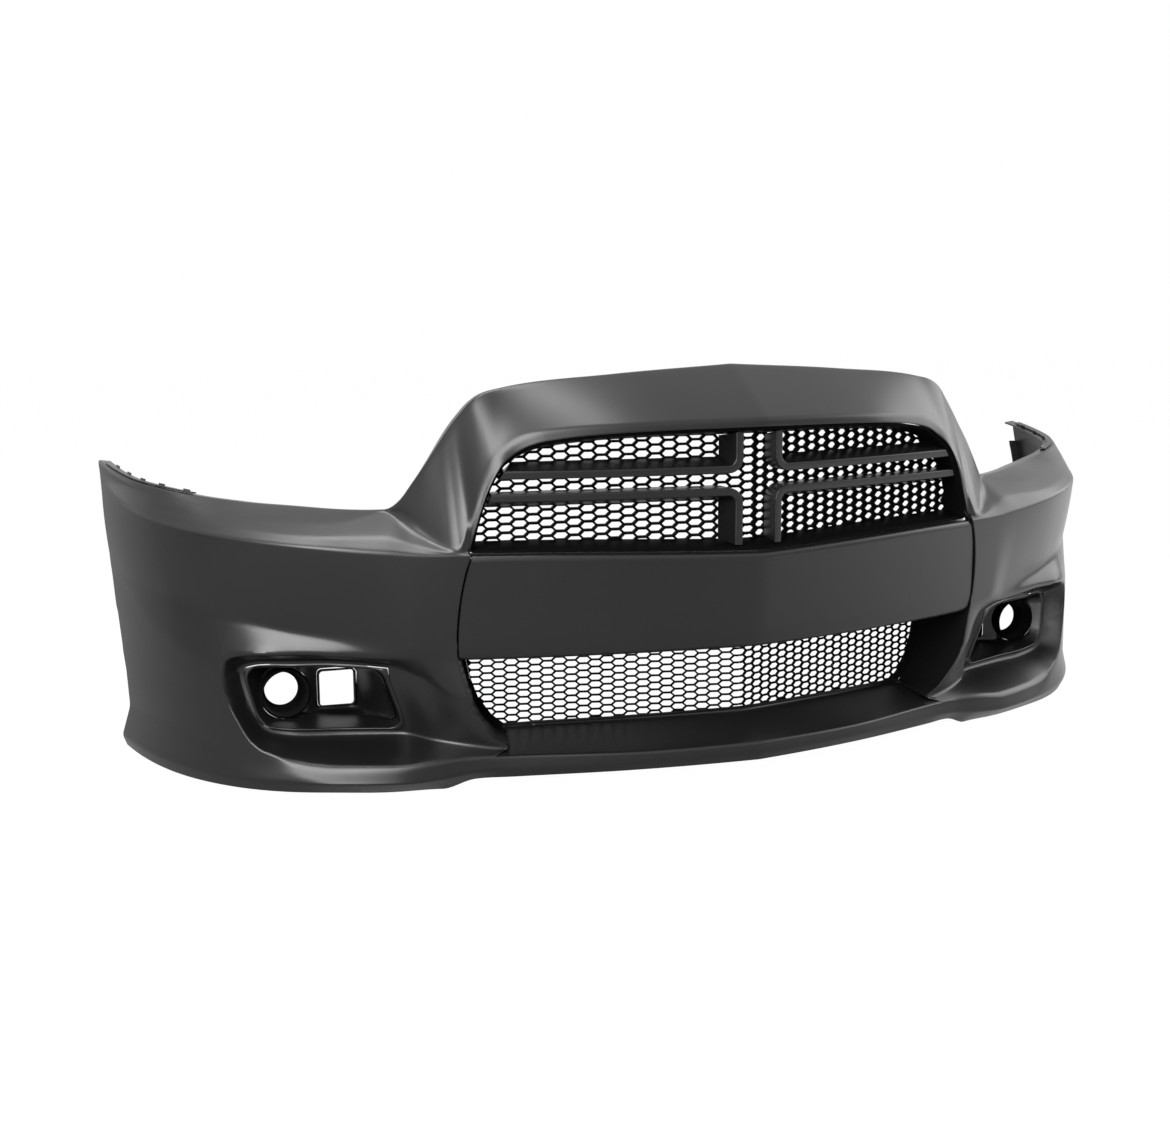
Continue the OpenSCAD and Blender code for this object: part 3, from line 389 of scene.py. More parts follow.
def place(a, o, z):
    if a <= CORNER_X:
        x, y = a, nose_at(a)
        turn = corner_turn * steps((a - WALL_A) / (CORNER_X - WALL_A))
    else:
        t = (a - CORNER_X) / (END_A - CORNER_X)
        u = 1 - t
        x, y = u ** 3 * B0 + 3 * t * u * u * B1 + 3 * t * t * u * B2 + t ** 3 * B3
        dx, dy = u * u * (B1 - B0) + 2 * t * u * (B2 - B1) + t * t * (B3 - B2)
        turn = math.atan2(dy, dx)
    return np.array((x - o * math.sin(turn), y + o * math.cos(turn), z))


print("nose at", nose_y, "mm, arch tip at", [round(float(v)) for v in B3])

# %% [markdown]
# ## Sections of the shell
# At every station the lines give the corner points of a section, and each corner gets its own fillet.
# Between the lines the surface is slightly crowned, as a moulded panel is, so light glides over it.
# Rows between two lines lie between the ends of their fillets, so that a row never folds back over a fillet.
# Columns lean with the edge of the centre opening, the bezel's slant and the wheel arch.

# %% Cut sections
LIP, FOOT, POCKET, RIDGE, RIM, EDGE, LAST = 4, 5, 6, 9, 10, 11, 14
FILLET = [0, 0, 6, 7, 5, 6, 6, 9, 9, 5, 0, 2.5, 14, 4, 0]
CUTS = [1, 1, 4, 4, 7, 5, 4, 4, 8, 5, 1, 4, 8, 4, 1]
MIDS = [1, 1, 1, 1, 4, 6, 3, 1, 10, 1, 1, 3, 10, 1, 0]
CROWN = [0, 0, 0, 0, 0, 0, 0, 0, 2.0, 0, 0, 0, 2.0, 0, 0]
CROWN_SPAN, FILLET_SHARE, LIP_SHARE = 150, 0.42, 0.4
edge_fillet = smooth_line([(0, 2.5), (480, 2.5), (560, 14), (END_A, 14)])
lip_fillet = smooth_line([(0, 6), (450, 6), (520, 11), (690, 11), (745, 3.5), (END_A, 3.5)])
BEZEL_SLANT, SLANT_FADE, RECESS_LEAN, LEAN_A, LEAN_Z, LEAN_SPAN = 22, 100, 30, 690, 80, 110


def first_row(k):
    return sum(CUTS[:k]) + sum(MIDS[:k])


def gap_share(s, k):
    if k == LIP:
        return LIP_SHARE * gap_share(s, FOOT)
    if k < LIP or k > RIDGE:
        return 0
    return s / WALL_A if s <= WALL_A else 1 - steps((s - GAP_A) / (LAMP_A - GAP_A))


def slant_share(s, k):
    if k < FOOT or k > POCKET:
        return 0
    return steps((s - GAP_A) / (LAMP_A - GAP_A)) if s < LAMP_A else 1 - steps((s - LAMP_A) / SLANT_FADE)


def shift(s, z, k):
    if s > ARCH_A:
        return s + (arch_line(z)[0] - END_A) * (s - ARCH_A) / (END_A - ARCH_A)
    return s + gap_share(s, k) * (gap_line(z)[0] - GAP_A) - slant_share(s, k) * BEZEL_SLANT * lean(z)


def lean(z):
    return 1 - steps((z - LEAN_Z) / LEAN_SPAN)


def leaned(s, z, k):
    """How far a column leans with the outer end of the lamp recess."""
    if k < LIP or k > POCKET + 1:
        return 0
    near = (steps((s - LEAN_A) / (RECESS_A - LEAN_A)) if s < RECESS_A
            else 1 - steps((s - RECESS_A) / (ARCH_A - RECESS_A)))
    return -near * RECESS_LEAN * lean(z)


def guide_at(line, s, k):
    a = shift(s, line(s)[1], k)
    o, z = line(a)
    return np.array((a + leaned(s, z, k), o, z))


def keys(s):
    v = [guide_at(g, s, k + 1 if k < RIDGE else k + 2) for k, g in enumerate(GUIDES)]
    rim = v[9] + (0, RIM_D, 0) if s < GAP_A else (v[8] + v[9]) / 2
    return [v[0] + (0, BOTTOM_FLANGE, 0), *v[:9], rim, *v[9:], v[11] + (0, TOP_FLANGE, -3)]


def unit(v):
    return v / max(np.linalg.norm(v), 1e-9)


def reach_of(p, q, r, radius):
    """How far along its two sides a fillet starts."""
    return min(radius, FILLET_SHARE * np.linalg.norm(p - q), FILLET_SHARE * np.linalg.norm(r - q))


def rounded(p, q, r, radius, n):
    if n == 1:
        return [q]
    g = reach_of(p, q, r, radius)
    s, e = q + unit(p - q) * g, q + unit(r - q) * g
    ts = [i / (n - 1) for i in range(n)]
    return [(1 - t) ** 2 * s + 2 * t * (1 - t) * q + t * t * e for t in ts]


def radius_at(s, k):
    return lip_fillet(s)[0] if k == LIP else edge_fillet(s)[0] if k == EDGE else FILLET[k]


def column(s):
    v = keys(s)
    p = [place(*q) for q in v]
    cut = [0 if k in (0, LAST) or CUTS[k] == 1 else reach_of(p[k - 1], p[k], p[k + 1], radius_at(s, k))
           for k in range(LAST + 1)]
    out = []
    for k in range(LAST + 1):
        out += [p[k]] if k in (0, LAST) else rounded(p[k - 1], p[k], p[k + 1], radius_at(s, k), CUTS[k])
        if MIDS[k] == 0:
            continue
        length = max(np.linalg.norm(p[k + 1] - p[k]), 1e-6)
        first, last = cut[k] / length, 1 - cut[k + 1] / length
        crown = CROWN[k] * min(1, length / CROWN_SPAN)
        for i in range(1, MIDS[k] + 1):
            t = i / (MIDS[k] + 1)
            a, o, z = v[k] + (v[k + 1] - v[k]) * (first + (last - first) * t)
            a = shift(s, z, k) + leaned(s, z, k) if k in (FOOT, RIDGE - 1) else a
            out.append(place(a, o - crown * 4 * t * (1 - t), z))
    return np.array(out)


print("rows in a section:", first_row(LAST) + 1)

# %% [markdown]
# ## From a grid of points to a moulded sheet
# A moulding is a surface with an even wall. The outer points are given; the inner ones lie one wall behind,
# along the mean direction of the faces round them, a little further at a corner, so that the wall stays even.
# The faces join outer, inner and edges into one closed mesh. Sharp edges are marked by their angle.


# %% Define the sheet and the piece helpers
WELD, LEAST_TURN = 1e-6, 0.75


def both_sides(values):
    """The values of the right half, with the left half before them."""
    return np.concatenate((values[:0:-1], values))


def mirrored(half):
    grid = both_sides(half)
    grid[:len(half) - 1, :, 0] *= -1
    return grid


def from_middle(i, middle):
    return i - middle if i >= middle else middle - 1 - i


def sheet_mesh(name, grid, wall, is_open=None, inside=None):
    n, m = grid.shape[:2]
    shut = np.array([[not (is_open and is_open(i, r)) for r in range(m - 1)] for i in range(n - 1)])
    face = np.cross(grid[1:, 1:] - grid[:-1, :-1], grid[:-1, 1:] - grid[1:, :-1])
    face /= np.maximum(np.linalg.norm(face, axis=2, keepdims=True), 1e-9)
    face *= shut[:, :, None]
    around = np.zeros((n, m, 3))
    low, high = slice(0, -1), slice(1, None)
    spots = [(p, q) for q in (low, high) for p in (low, high)]
    for spot in spots:
        around[spot] += face
    mean = around / np.maximum(np.linalg.norm(around, axis=2, keepdims=True), 1e-9)
    least = np.ones((n, m))
    for spot in spots:
        dots = np.where(shut, (face * mean[spot]).sum(axis=2), 1)
        least[spot] = np.minimum(least[spot], dots)
    back = grid - (wall / np.maximum(LEAST_TURN, least))[:, :, None] * mean
    points = np.concatenate((grid.reshape(-1, 3), back.reshape(-1, 3)))
    deep = n * m

    def number(i, r):
        return i * m + r

    def solid(i, r):
        return 0 <= i < n - 1 and 0 <= r < m - 1 and shut[i, r]

    faces = []
    for i in range(n - 1):
        for r in range(m - 1):
            if not shut[i, r]:
                continue
            a, b, c, d = number(i, r), number(i, r + 1), number(i + 1, r + 1), number(i + 1, r)
            faces += [(d, c, b, a), (deep + a, deep + b, deep + c, deep + d)]
            for (p, q), side in (((a, b), (i - 1, r)), ((c, d), (i + 1, r)), ((d, a), (i, r - 1)),
                                 ((b, c), (i, r + 1))):
                if not solid(*side):
                    faces.append((p, q, deep + q, deep + p))
    return make_mesh(name, points, faces, None if inside is None else np.tile(inside.ravel(), 2))


def make_mesh(name, points, faces, marks=None):
    used = sorted({v for f in faces for v in f})
    new = {v: i for i, v in enumerate(used)}
    mesh = bpy.data.meshes.new(name)
    mesh.from_pydata([tuple(points[v] * MM) for v in used], [], [tuple(new[v] for v in f) for f in faces])
    mesh.update()
    if marks is not None:
        store(mesh, "inside", [float(marks[v]) for v in used])
    return mesh


def store(mesh, name, values):
    """Write one number on every point of a mesh."""
    mesh.attributes.new(name, "FLOAT", "POINT").data.foreach_set("value", values)


def open_bmesh(mesh):
    bm = bmesh.new()
    bm.from_mesh(mesh)
    return bm


def close_bmesh(bm, mesh):
    bm.to_mesh(mesh)
    bm.free()
    return mesh


def tidy_normals(mesh):
    bm = open_bmesh(mesh)
    bmesh.ops.remove_doubles(bm, verts=bm.verts, dist=WELD)
    bmesh.ops.dissolve_degenerate(bm, edges=bm.edges, dist=WELD / 10)
    bmesh.ops.recalc_face_normals(bm, faces=bm.faces)
    return close_bmesh(bm, mesh)


def piece(mesh, material, slot, *nodes, angle=35):
    """A finished piece: smooth, in its material, riding on the one body and standing for its CAD nodes."""
    obj = show(mesh.name, mesh)
    mesh.materials.clear()
    mesh.materials.append(material)
    mesh.shade_smooth()
    mesh.set_sharp_from_angle(angle=math.radians(angle))
    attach(obj, "root")
    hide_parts(*nodes)
    print(obj.name, len(mesh.polygons), "faces")


def flipped(mesh, name):
    """The mirror image of a mesh, with its faces turned the right way again."""
    other = mesh.copy()
    other.name = name
    other.transform(Matrix.Diagonal((-1, 1, 1, 1)))
    other.flip_normals()
    return other


def pair(mesh, material, slot, stem, angle=35):
    """A right-hand piece and its left-hand twin."""
    mesh.name = stem + "_right_look"
    twin = flipped(mesh, stem + "_left_look")
    piece(mesh, material, slot, stem + "_right", angle=angle)
    piece(twin, material, slot, stem + "_left", angle=angle)


print("helpers ready")

# %% [markdown]
# ## The shell
# Stations are set close together where the surface turns quickly and further apart on the long flats.
# Beside the centre panel the sheet turns in: low down it runs back to the lower mesh, higher up it only folds.
# That edge is visible along its whole length, so it gets a fillet of its own, and the walls behind it carry painted
# shade: a mark that takes their reflections away. At the outer end of the lamp recess the form turns too sharply
# for the full wall, so it thins there.

# %% Build the shell
coarse = [0, 75, 150, 220, 280, 330, 362, 386, 406, 420, WALL_A, GAP_A, 464, 480, 498, 518, 538, 556, LAMP_A,
          604, 640, 680, 720, 756, 782, 800, 810, FOG_END_A, RECESS_A, 829, 833, 842, 858, 878, 902, 935, 975,
          1020, 1065, 1110, 1155, END_A]
TURN_IN, STEP, GAP_RADIUS, BEND_N = 8, 10, 2.5, 6
LOW_MESH_SET, LOW_SLOPE, FRAME_LEAD, TUNNEL_IN, TUNNEL_TOP, TUNNEL_FADE = 84, 0.3, 4, 32, 198, 18
THIN_SHARE, THIN_SPAN = 0.8, 16
# Painted shade on the walls that turn in beside the centre panel, strongest deep in the tunnel.
SHADE_STEPS = (1, 1, 0.99, 0.97, 0.8, 0.4, 0.1)  # marks from the mesh out to the edge
stations = []
for a, b in zip(coarse, coarse[1:]):
    n = TURN_IN if a == WALL_A else max(3, round((b - a) / STEP))
    stations += [a + (b - a) * i / n for i in range(n)]
stations.append(END_A)
wall_i, gap_i = stations.index(WALL_A), stations.index(GAP_A)
fog_i0, fog_i1 = stations.index(LAMP_A), stations.index(FOG_END_A)
hole_low = first_row(FOOT) + CUTS[FOOT] - 1
hole_top = first_row(RIM)


def low_y(x):
    return nose_y + LOW_MESH_SET + LOW_SLOPE * abs(x)


def tunnel_end(p):
    low = 1 - steps((p[2] - TUNNEL_TOP) / TUNNEL_FADE)
    deep = np.array((p[0] - TUNNEL_IN, low_y(p[0] - TUNNEL_IN) - FRAME_LEAD - 4 * FIT, p[2]))
    fold = p + (-WALL / 2, RIM_D, 0)
    return fold + (deep - fold) * low


half = np.array([column(s) for s in stations])
straight = TURN_IN - BEND_N + 1
for r in range(hole_low + 1, hole_top + 1):
    corner, beyond = half[gap_i, r].copy(), half[gap_i + 1, r]
    far = tunnel_end(corner)
    bend = rounded(far, corner, beyond, GAP_RADIUS, BEND_N)
    for i in range(straight):
        half[wall_i + i, r] = far + (bend[0] - far) * i / straight
    for i, p in enumerate(bend):
        half[wall_i + straight + i, r] = p
half = np.concatenate((half, half[-1:] + (-ARCH_FLANGE, 0, 0)))
skin_mid = len(half) - 1


def skin_open(i, r):
    c = from_middle(i, skin_mid)
    return ((c < wall_i and hole_low <= r < hole_top)
            or (fog_i0 <= c < fog_i1 and hole_low <= r < first_row(POCKET))
            or (c == skin_mid - 1 and (r < first_row(LIP) or r >= first_row(RIM))))


thin = np.array([math.exp(-((s - RECESS_A) / THIN_SPAN) ** 2) for s in stations + [END_A + ARCH_FLANGE]])
near = np.array([first_row(LIP) - 4 <= r <= first_row(POCKET + 2) for r in range(half.shape[1])])
skin_wall = both_sides(WALL * (1 - THIN_SHARE * thin[:, None] * near[None, :]))
# Painted shade: these marks take the reflections off the turned-in walls.
marks = np.zeros(half.shape[:2])
for i, value in enumerate(SHADE_STEPS):
    marks[wall_i + i, first_row(FOOT):hole_top + 1] = value
piece(sheet_mesh("skin", mirrored(half), skin_wall, skin_open, both_sides(marks)), SKIN, "skin_plastic",
      "bumper_skin", angle=38)

# %% [markdown]
# ## The centre panel
# A separate moulding closes the space between the grille and the lower intake.
# It is a sheet like the shell: its face carries on the shell's form, its edges fold back,
# and its lower edge turns under to become the roof of the intake.

# %% Build the centre panel
PANEL_LOW, PANEL_GAP, PANEL_FOLD, PANEL_TOP_FOLD, ROOF_X, ROOF_RISE = 206, 2.5, 16, 34, 414, 12
panel_rows = [(27, PANEL_LOW), (21, PANEL_LOW + 8), (16.5, 235), (13.5, 262), (9.5, 300), (6, 330)]


def panel_end(z):
    return gap_line(min(z, RIDGE_Z))[0] - PANEL_GAP


def panel_column(u, back, inward):
    t = RIDGE_LINE(u * panel_end(RIDGE_Z))[1] - PANEL_GAP / 2
    rows = panel_rows + [(PANEL_SET + o, t - d) for o, d in
                         ((1, 14), (0, 9), (1.5, 3), (5, 0), (5 + PANEL_TOP_FOLD, 0.5))]
    x = u * ROOF_X
    pts = [np.array((x, low_y(x) - FRAME_LEAD - 2 * FIT, PANEL_LOW + ROOF_RISE))]
    pts += [place(u * panel_end(z) - inward, o + back, z) for o, z in rows]
    out = [pts[0], (pts[0] + pts[1]) / 2]
    for i in range(1, len(pts) - 1):
        out += rounded(pts[i - 1], pts[i], pts[i + 1], 7 if i < 7 else 2.5, 4)
    return np.array(out + [pts[-1]])


shares = [i / 30 for i in range(29)] + [0.96, 0.985, 0.996, 1]
folds = [(1.5, 0.2), (PANEL_FOLD / 2, WALL / 4), (PANEL_FOLD, WALL / 2)]
panel_half = np.array([panel_column(u, 0, 0) for u in shares] + [panel_column(1, b, i) for b, i in folds])
panel_mid = len(panel_half) - 1
panel_rows_n = panel_half.shape[1]
fold_from = panel_mid - len(folds)


def panel_open(i, r):
    return from_middle(i, panel_mid) >= fold_from and (r < 5 or r >= panel_rows_n - 9)


# Painted shade: the folded edges and the rows that turn under carry the mark that takes reflections away.
marks = np.zeros(panel_half.shape[:2])
marks[fold_from:] = 1
marks[:, :3] = 1
piece(sheet_mesh("centre_panel_look", mirrored(panel_half), WALL, panel_open, both_sides(marks)), SKIN,
      "skin_plastic", "centre_panel", angle=38)

# %% [markdown]
# ## The grille surround and its bars
# The surround is a sloped frame inside the grille opening; four bent bars end on it.
# Both are profiles swept along a path, so one helper takes a list of rings and joins them.
# The front corners of every ring are rounded, because an edge without a radius never catches the light.

# %% Sweep the surround and the bars
SURROUND_FACE, SURROUND_W, SURROUND_GAP, SURROUND_SET, GRILLE_BACK = 4, 13, 1, 6, 56
BAR_SET, BAR_W, BAR_DRAFT, BAR_UPPER, BAR_LOWER, BAR_X, BAR_BEND, BAR_GAP, BAR_SEAT = (
    22, 12, 11, 487, 453, 34, 18, 1.2, 0.3)
mesh_slope = (nose_at(WALL_A) - nose_y) / WALL_A
SILL_SET = 12


def mesh_y(x):
    return nose_y + GRILLE_BACK + mesh_slope * abs(x)


def right_of(d):
    return unit(np.array((d[1], -d[0])))


def grow(path, d):
    """A closed path in x and z, moved outward by d; the path runs anticlockwise."""
    n = len(path)
    out = []
    for i in range(n):
        q, r = right_of(path[i] - path[i - 1]), right_of(path[(i + 1) % n] - path[i])
        out.append(path[i] + d * (q + r) / (1 + q @ r))
    return out


def edge_z(x):
    return EDGE_LINE(abs(x))[1]


def ridge_at(x):
    return RIDGE_LINE(abs(x))[1]


def sweep_mesh(name, rings, closed):
    n, m = len(rings), len(rings[0])
    points = np.array(rings).reshape(-1, 3)
    faces = []
    for i in range(n if closed else n - 1):
        a, b = i * m, (i + 1) % n * m
        faces += [(a + k, a + (k + 1) % m, b + (k + 1) % m, b + k) for k in range(m)]
    if not closed:
        faces += [tuple(range(m)), tuple((n - 1) * m + k for k in range(m))]
    return tidy_normals(make_mesh(name, points, faces))


def on_ridge(x):
    return np.array((x, ridge_at(x)))


def on_edge(x):
    return np.array((x, edge_z(x)))


PATH_CORNER, PATH_R = (400, 444, 436), 7
right_path = [on_ridge(x) for x in range(0, 431, 43)]
right_path += rounded(on_ridge(PATH_CORNER[0]), on_ridge(PATH_CORNER[1]), on_edge(PATH_CORNER[2]), PATH_R, 5)
right_path += [on_edge(x) for x in (436, 430, 425, 420, 413, 406, 400, 393, 386, 380, 374, 368, 362)]
right_path += [on_edge(x) for x in range(350, -1, -14)]
opening = right_path + [p * (-1, 1) for p in right_path[-2:0:-1]]
outer, face, inner = (grow(opening, -SURROUND_GAP - d) for d in (0, SURROUND_FACE, SURROUND_W))
rings = []
for p, q, v, w in zip(opening, outer, face, inner):
    a = abs(p[0])
    f = nose_at(a) + SURROUND_SET + (SILL_SET if p[1] < ridge_at(a) + 4 else EDGE_LINE(a)[0])
    q0, v0 = np.array((q[0], f, q[1])), np.array((v[0], f + 1, v[1]))
    w0, e0 = np.array((w[0], mesh_y(w[0]) - FIT, w[1])), np.array((q[0], mesh_y(q[0]) - FIT, q[1]))
    rings.append(rounded(e0, q0, v0, 1, 3) + rounded(q0, v0, w0, 1.6, 4) + rounded(v0, w0, e0, 0.8, 3) + [e0])
piece(sweep_mesh("grille_surround_look", rings, True), SHADE_MATT, "grille_plastic", "grille_surround")


def path_x(path, z):
    found = [p[0] + (q[0] - p[0]) * (z - p[1]) / (q[1] - p[1]) for p, q in zip(path, path[1:])
             if (p[1] - z) * (q[1] - z) < 0]
    return max(found)


def bar_side(z0, way, inset, across):
    z, x, r = z0 + way * across, BAR_X + across, BAR_BEND - across
    c = np.array((BAR_X + BAR_BEND, z0 + way * BAR_BEND))
    start = path_x(grow(opening, -SURROUND_GAP - inset), z) - BAR_GAP
    end = (edge_z(BAR_X + BAR_W) - inset - SURROUND_GAP - BAR_GAP if way > 0
           else ridge_at(BAR_X + BAR_W) + inset + SURROUND_GAP + BAR_GAP)
    run = [np.array((start + (c[0] - start) * t / 12, z)) for t in range(13)]
    angles = (math.radians(d) for d in range(6, 90, 6))
    turn = [c - r * np.array((math.sin(g), way * math.cos(g))) for g in angles]
    return run + turn + [np.array((x, c[1] + (end - c[1]) * t / 5)) for t in range(6)]


def bar_mesh(name, z0, way):
    h = BAR_W / 2
    front = SURROUND_FACE + (SURROUND_W - SURROUND_FACE) * BAR_SEAT
    window_front, window_back = bar_side(z0, way, front, h), bar_side(z0, way, SURROUND_W, h + BAR_DRAFT)
    channel_front, channel_back = bar_side(z0, way, front, -h), bar_side(z0, way, SURROUND_W, -h)
    bar_rings = []
    for wf, wb, cf, cb in zip(window_front, window_back, channel_front, channel_back):
        a, b = (np.array((q[0], nose_at(q[0]) + BAR_SET, q[1])) for q in (wf, cf))
        c, d = (np.array((q[0], mesh_y(q[0]) - FIT, q[1])) for q in (cb, wb))
        bar_rings.append(rounded(d, a, b, 2.4, 5) + rounded(a, b, c, 2.4, 5) + [c, d])
    return sweep_mesh(name, bar_rings, False)


for stem, height, way in (("bar_upper", BAR_UPPER, 1), ("bar_lower", BAR_LOWER, -1)):
    pair(bar_mesh(stem, height, way), GRILLE, "grille_plastic", stem)

# %% [markdown]
# ## The six-sided mesh
# The mesh repeats one cell hundreds of times, which is a job for Geometry Nodes.
# The tree lays a grid of points, lifts every second column by half a cell, puts a six-sided face on each
# point and welds the faces. Cutting the field to the opening and insetting every face then leaves webs of even
# width, which a scaled hole would not give at the trimmed cells.


# %% Grow the field of cells
def new_tree(name, *inputs):
    """A Geometry Nodes tree, its input node and the names by which a modifier sets its inputs."""
    tree = bpy.data.node_groups.new(name, "GeometryNodeTree")
    tree.is_modifier = True
    tree.interface.new_socket("Geometry", in_out="INPUT", socket_type="NodeSocketGeometry")
    ids = []
    for title, kind, value in inputs:
        socket = tree.interface.new_socket(title, in_out="INPUT", socket_type="NodeSocket" + kind)
        socket.default_value = value
        ids.append(socket.identifier)
    tree.interface.new_socket("Geometry", in_out="OUTPUT", socket_type="NodeSocketGeometry")
    return tree, add(tree, "NodeGroupInput"), ids


def hand_out(tree, spread, material, *between):
    """Make the instances real, give them a material and hand them to the output."""
    chain = [spread, add(tree, "GeometryNodeRealizeInstances"), *between,
             add(tree, "GeometryNodeSetMaterial", {"Material": material}), add(tree, "NodeGroupOutput")]
    for a, b in zip(chain, chain[1:]):
        link(tree, a, 0, b, 0)


def math_node(tree, operation, *values):
    node = add(tree, "ShaderNodeMath", operation=operation)
    for socket, value in zip(node.inputs, values):
        if isinstance(value, (int, float)):
            socket.default_value = value
        else:
            tree.links.new(value, socket)
    return node.outputs[0]


CELL_WELD = 0.0001


def cell_field_tree(material):
    tree, given, ids = new_tree("cell_field", ("Column pitch", "Float", 0.02), ("Row pitch", "Float", 0.013),
                                ("Columns", "Int", 10), ("Rows", "Int", 10))
    px, pz, nx, nz = (given.outputs[i] for i in (1, 2, 3, 4))
    grid = add(tree, "GeometryNodeMeshGrid")
    for axis, pitch, count in (("X", px, nx), ("Y", pz, nz)):
        span = math_node(tree, "MULTIPLY", pitch, math_node(tree, "SUBTRACT", count, 1))
        tree.links.new(span, grid.inputs["Size " + axis])
        tree.links.new(count, grid.inputs["Vertices " + axis])
    index = add(tree, "GeometryNodeInputIndex").outputs[0]
    odd = math_node(tree, "MODULO", math_node(tree, "FLOOR", math_node(tree, "DIVIDE", index, nz)), 2)
    lift = add(tree, "ShaderNodeCombineXYZ")
    tree.links.new(math_node(tree, "MULTIPLY", odd, math_node(tree, "MULTIPLY", pz, 0.5)), lift.inputs["Y"])
    move = add(tree, "GeometryNodeSetPosition")
    link(tree, grid, "Mesh", move, "Geometry")
    link(tree, lift, 0, move, "Offset")
    cell = add(tree, "GeometryNodeMeshCircle", {"Vertices": 6, "Radius": 1}, fill_type="NGON")
    size = add(tree, "ShaderNodeCombineXYZ", {"Z": 1})
    tree.links.new(math_node(tree, "MULTIPLY", px, 2 / 3), size.inputs["X"])
    tree.links.new(math_node(tree, "MULTIPLY", pz, 1 / math.sqrt(3)), size.inputs["Y"])
    spread = add(tree, "GeometryNodeInstanceOnPoints")
    link(tree, move, "Geometry", spread, "Points")
    link(tree, cell, "Mesh", spread, "Instance")
    link(tree, size, 0, spread, "Scale")
    hand_out(tree, spread, material, add(tree, "GeometryNodeMergeByDistance", {"Distance": CELL_WELD}))
    return tree, ids


def result_of(obj):
    """What an object's modifiers make of it, as a plain mesh."""
    return bpy.data.meshes.new_from_object(obj.evaluated_get(bpy.context.evaluated_depsgraph_get()))


def run_nodes(start, tree, values):
    """Runs a tree on a start mesh and returns the result as a plain mesh."""
    obj = show("bench", start)
    modifier = obj.modifiers.new("make", "NODES")
    modifier.node_group = tree
    for identifier, value in values:
        modifier[identifier] = value
    made = result_of(obj)
    bpy.data.objects.remove(obj)
    return made


field_tree, field_ids = cell_field_tree(SHADE_MATT)


def cell_field(pitch_x, pitch_z, columns, rows):
    values = (pitch_x * MM, pitch_z * MM, columns, rows)
    return run_nodes(bpy.data.meshes.new("bench"), field_tree, zip(field_ids, values))


print("cell field of 5 x 4:", len(cell_field(21.3, 13.6, 5, 4).polygons), "cells")

# %% [markdown]
# ## Mesh plates
# A plate is the field cut to its outline, opened cell by cell, given its thickness and eased along its edges.
# Cells that the outline trims too far stay closed, because a moulder would fill such slivers.
# The two plates of a grille meet in the middle, where a whole column of cells spans the joint,
# so the plate is cut there only after its cells are open. The lower plate is thin, with a rail behind for screws.

# %% Cut the mesh plates
UPPER_WEB, LOW_WEB, MESH_T, LOW_MESH_T, SCREW_IN = 3.4, 2.6, 10, 4, 6
CELL_X, CELL_Z, LOW_CELL_X, LOW_CELL_Z = 21.3, 13.6, 19.2, 11.6
LEAST = 0.5  # cells trimmed smaller than this share of a whole one stay closed
SHARP, PLATE_EASE, PAST, CUT_DIST = 1.2, 0.55, 1.2, 1e-7


def cut_plane(bm, x, z, away):
    """Take away what lies past a line in the plate's own x and z."""
    bmesh.ops.bisect_plane(bm, geom=bm.verts[:] + bm.edges[:] + bm.faces[:], dist=CUT_DIST, clear_outer=True,
                           plane_co=(x * MM, z * MM, 0), plane_no=(*away, 0))


def thicken(bm, depth, ease, flat_only):
    """Give flat faces a depth and ease the sharp edges, or only those that lie flat."""
    made = bmesh.ops.extrude_face_region(bm, geom=bm.faces[:])
    raised = [g for g in made["geom"] if isinstance(g, bmesh.types.BMVert)]
    bmesh.ops.translate(bm, verts=raised, vec=(0, 0, depth * MM))
    bmesh.ops.recalc_face_normals(bm, faces=bm.faces)
    rims = [e for e in bm.edges if e.calc_face_angle(0) > SHARP
            and (not flat_only or abs(e.verts[0].co.z - e.verts[1].co.z) < WELD)]
    bmesh.ops.bevel(bm, geom=rims, offset=ease * MM, segments=2, profile=0.5, affect="EDGES", clamp_overlap=True)


def stand_up(bm, name, y, angle):
    """A mesh from flat faces, set upright, turned to its plane and moved to its depth."""
    mesh = close_bmesh(bm, bpy.data.meshes.new(name))
    mesh.transform(Matrix.Translation((0, y * MM, 0)) @ Matrix.Rotation(angle, 4, "Z")
                   @ Matrix.Rotation(math.pi / 2, 4, "X"))
    return mesh


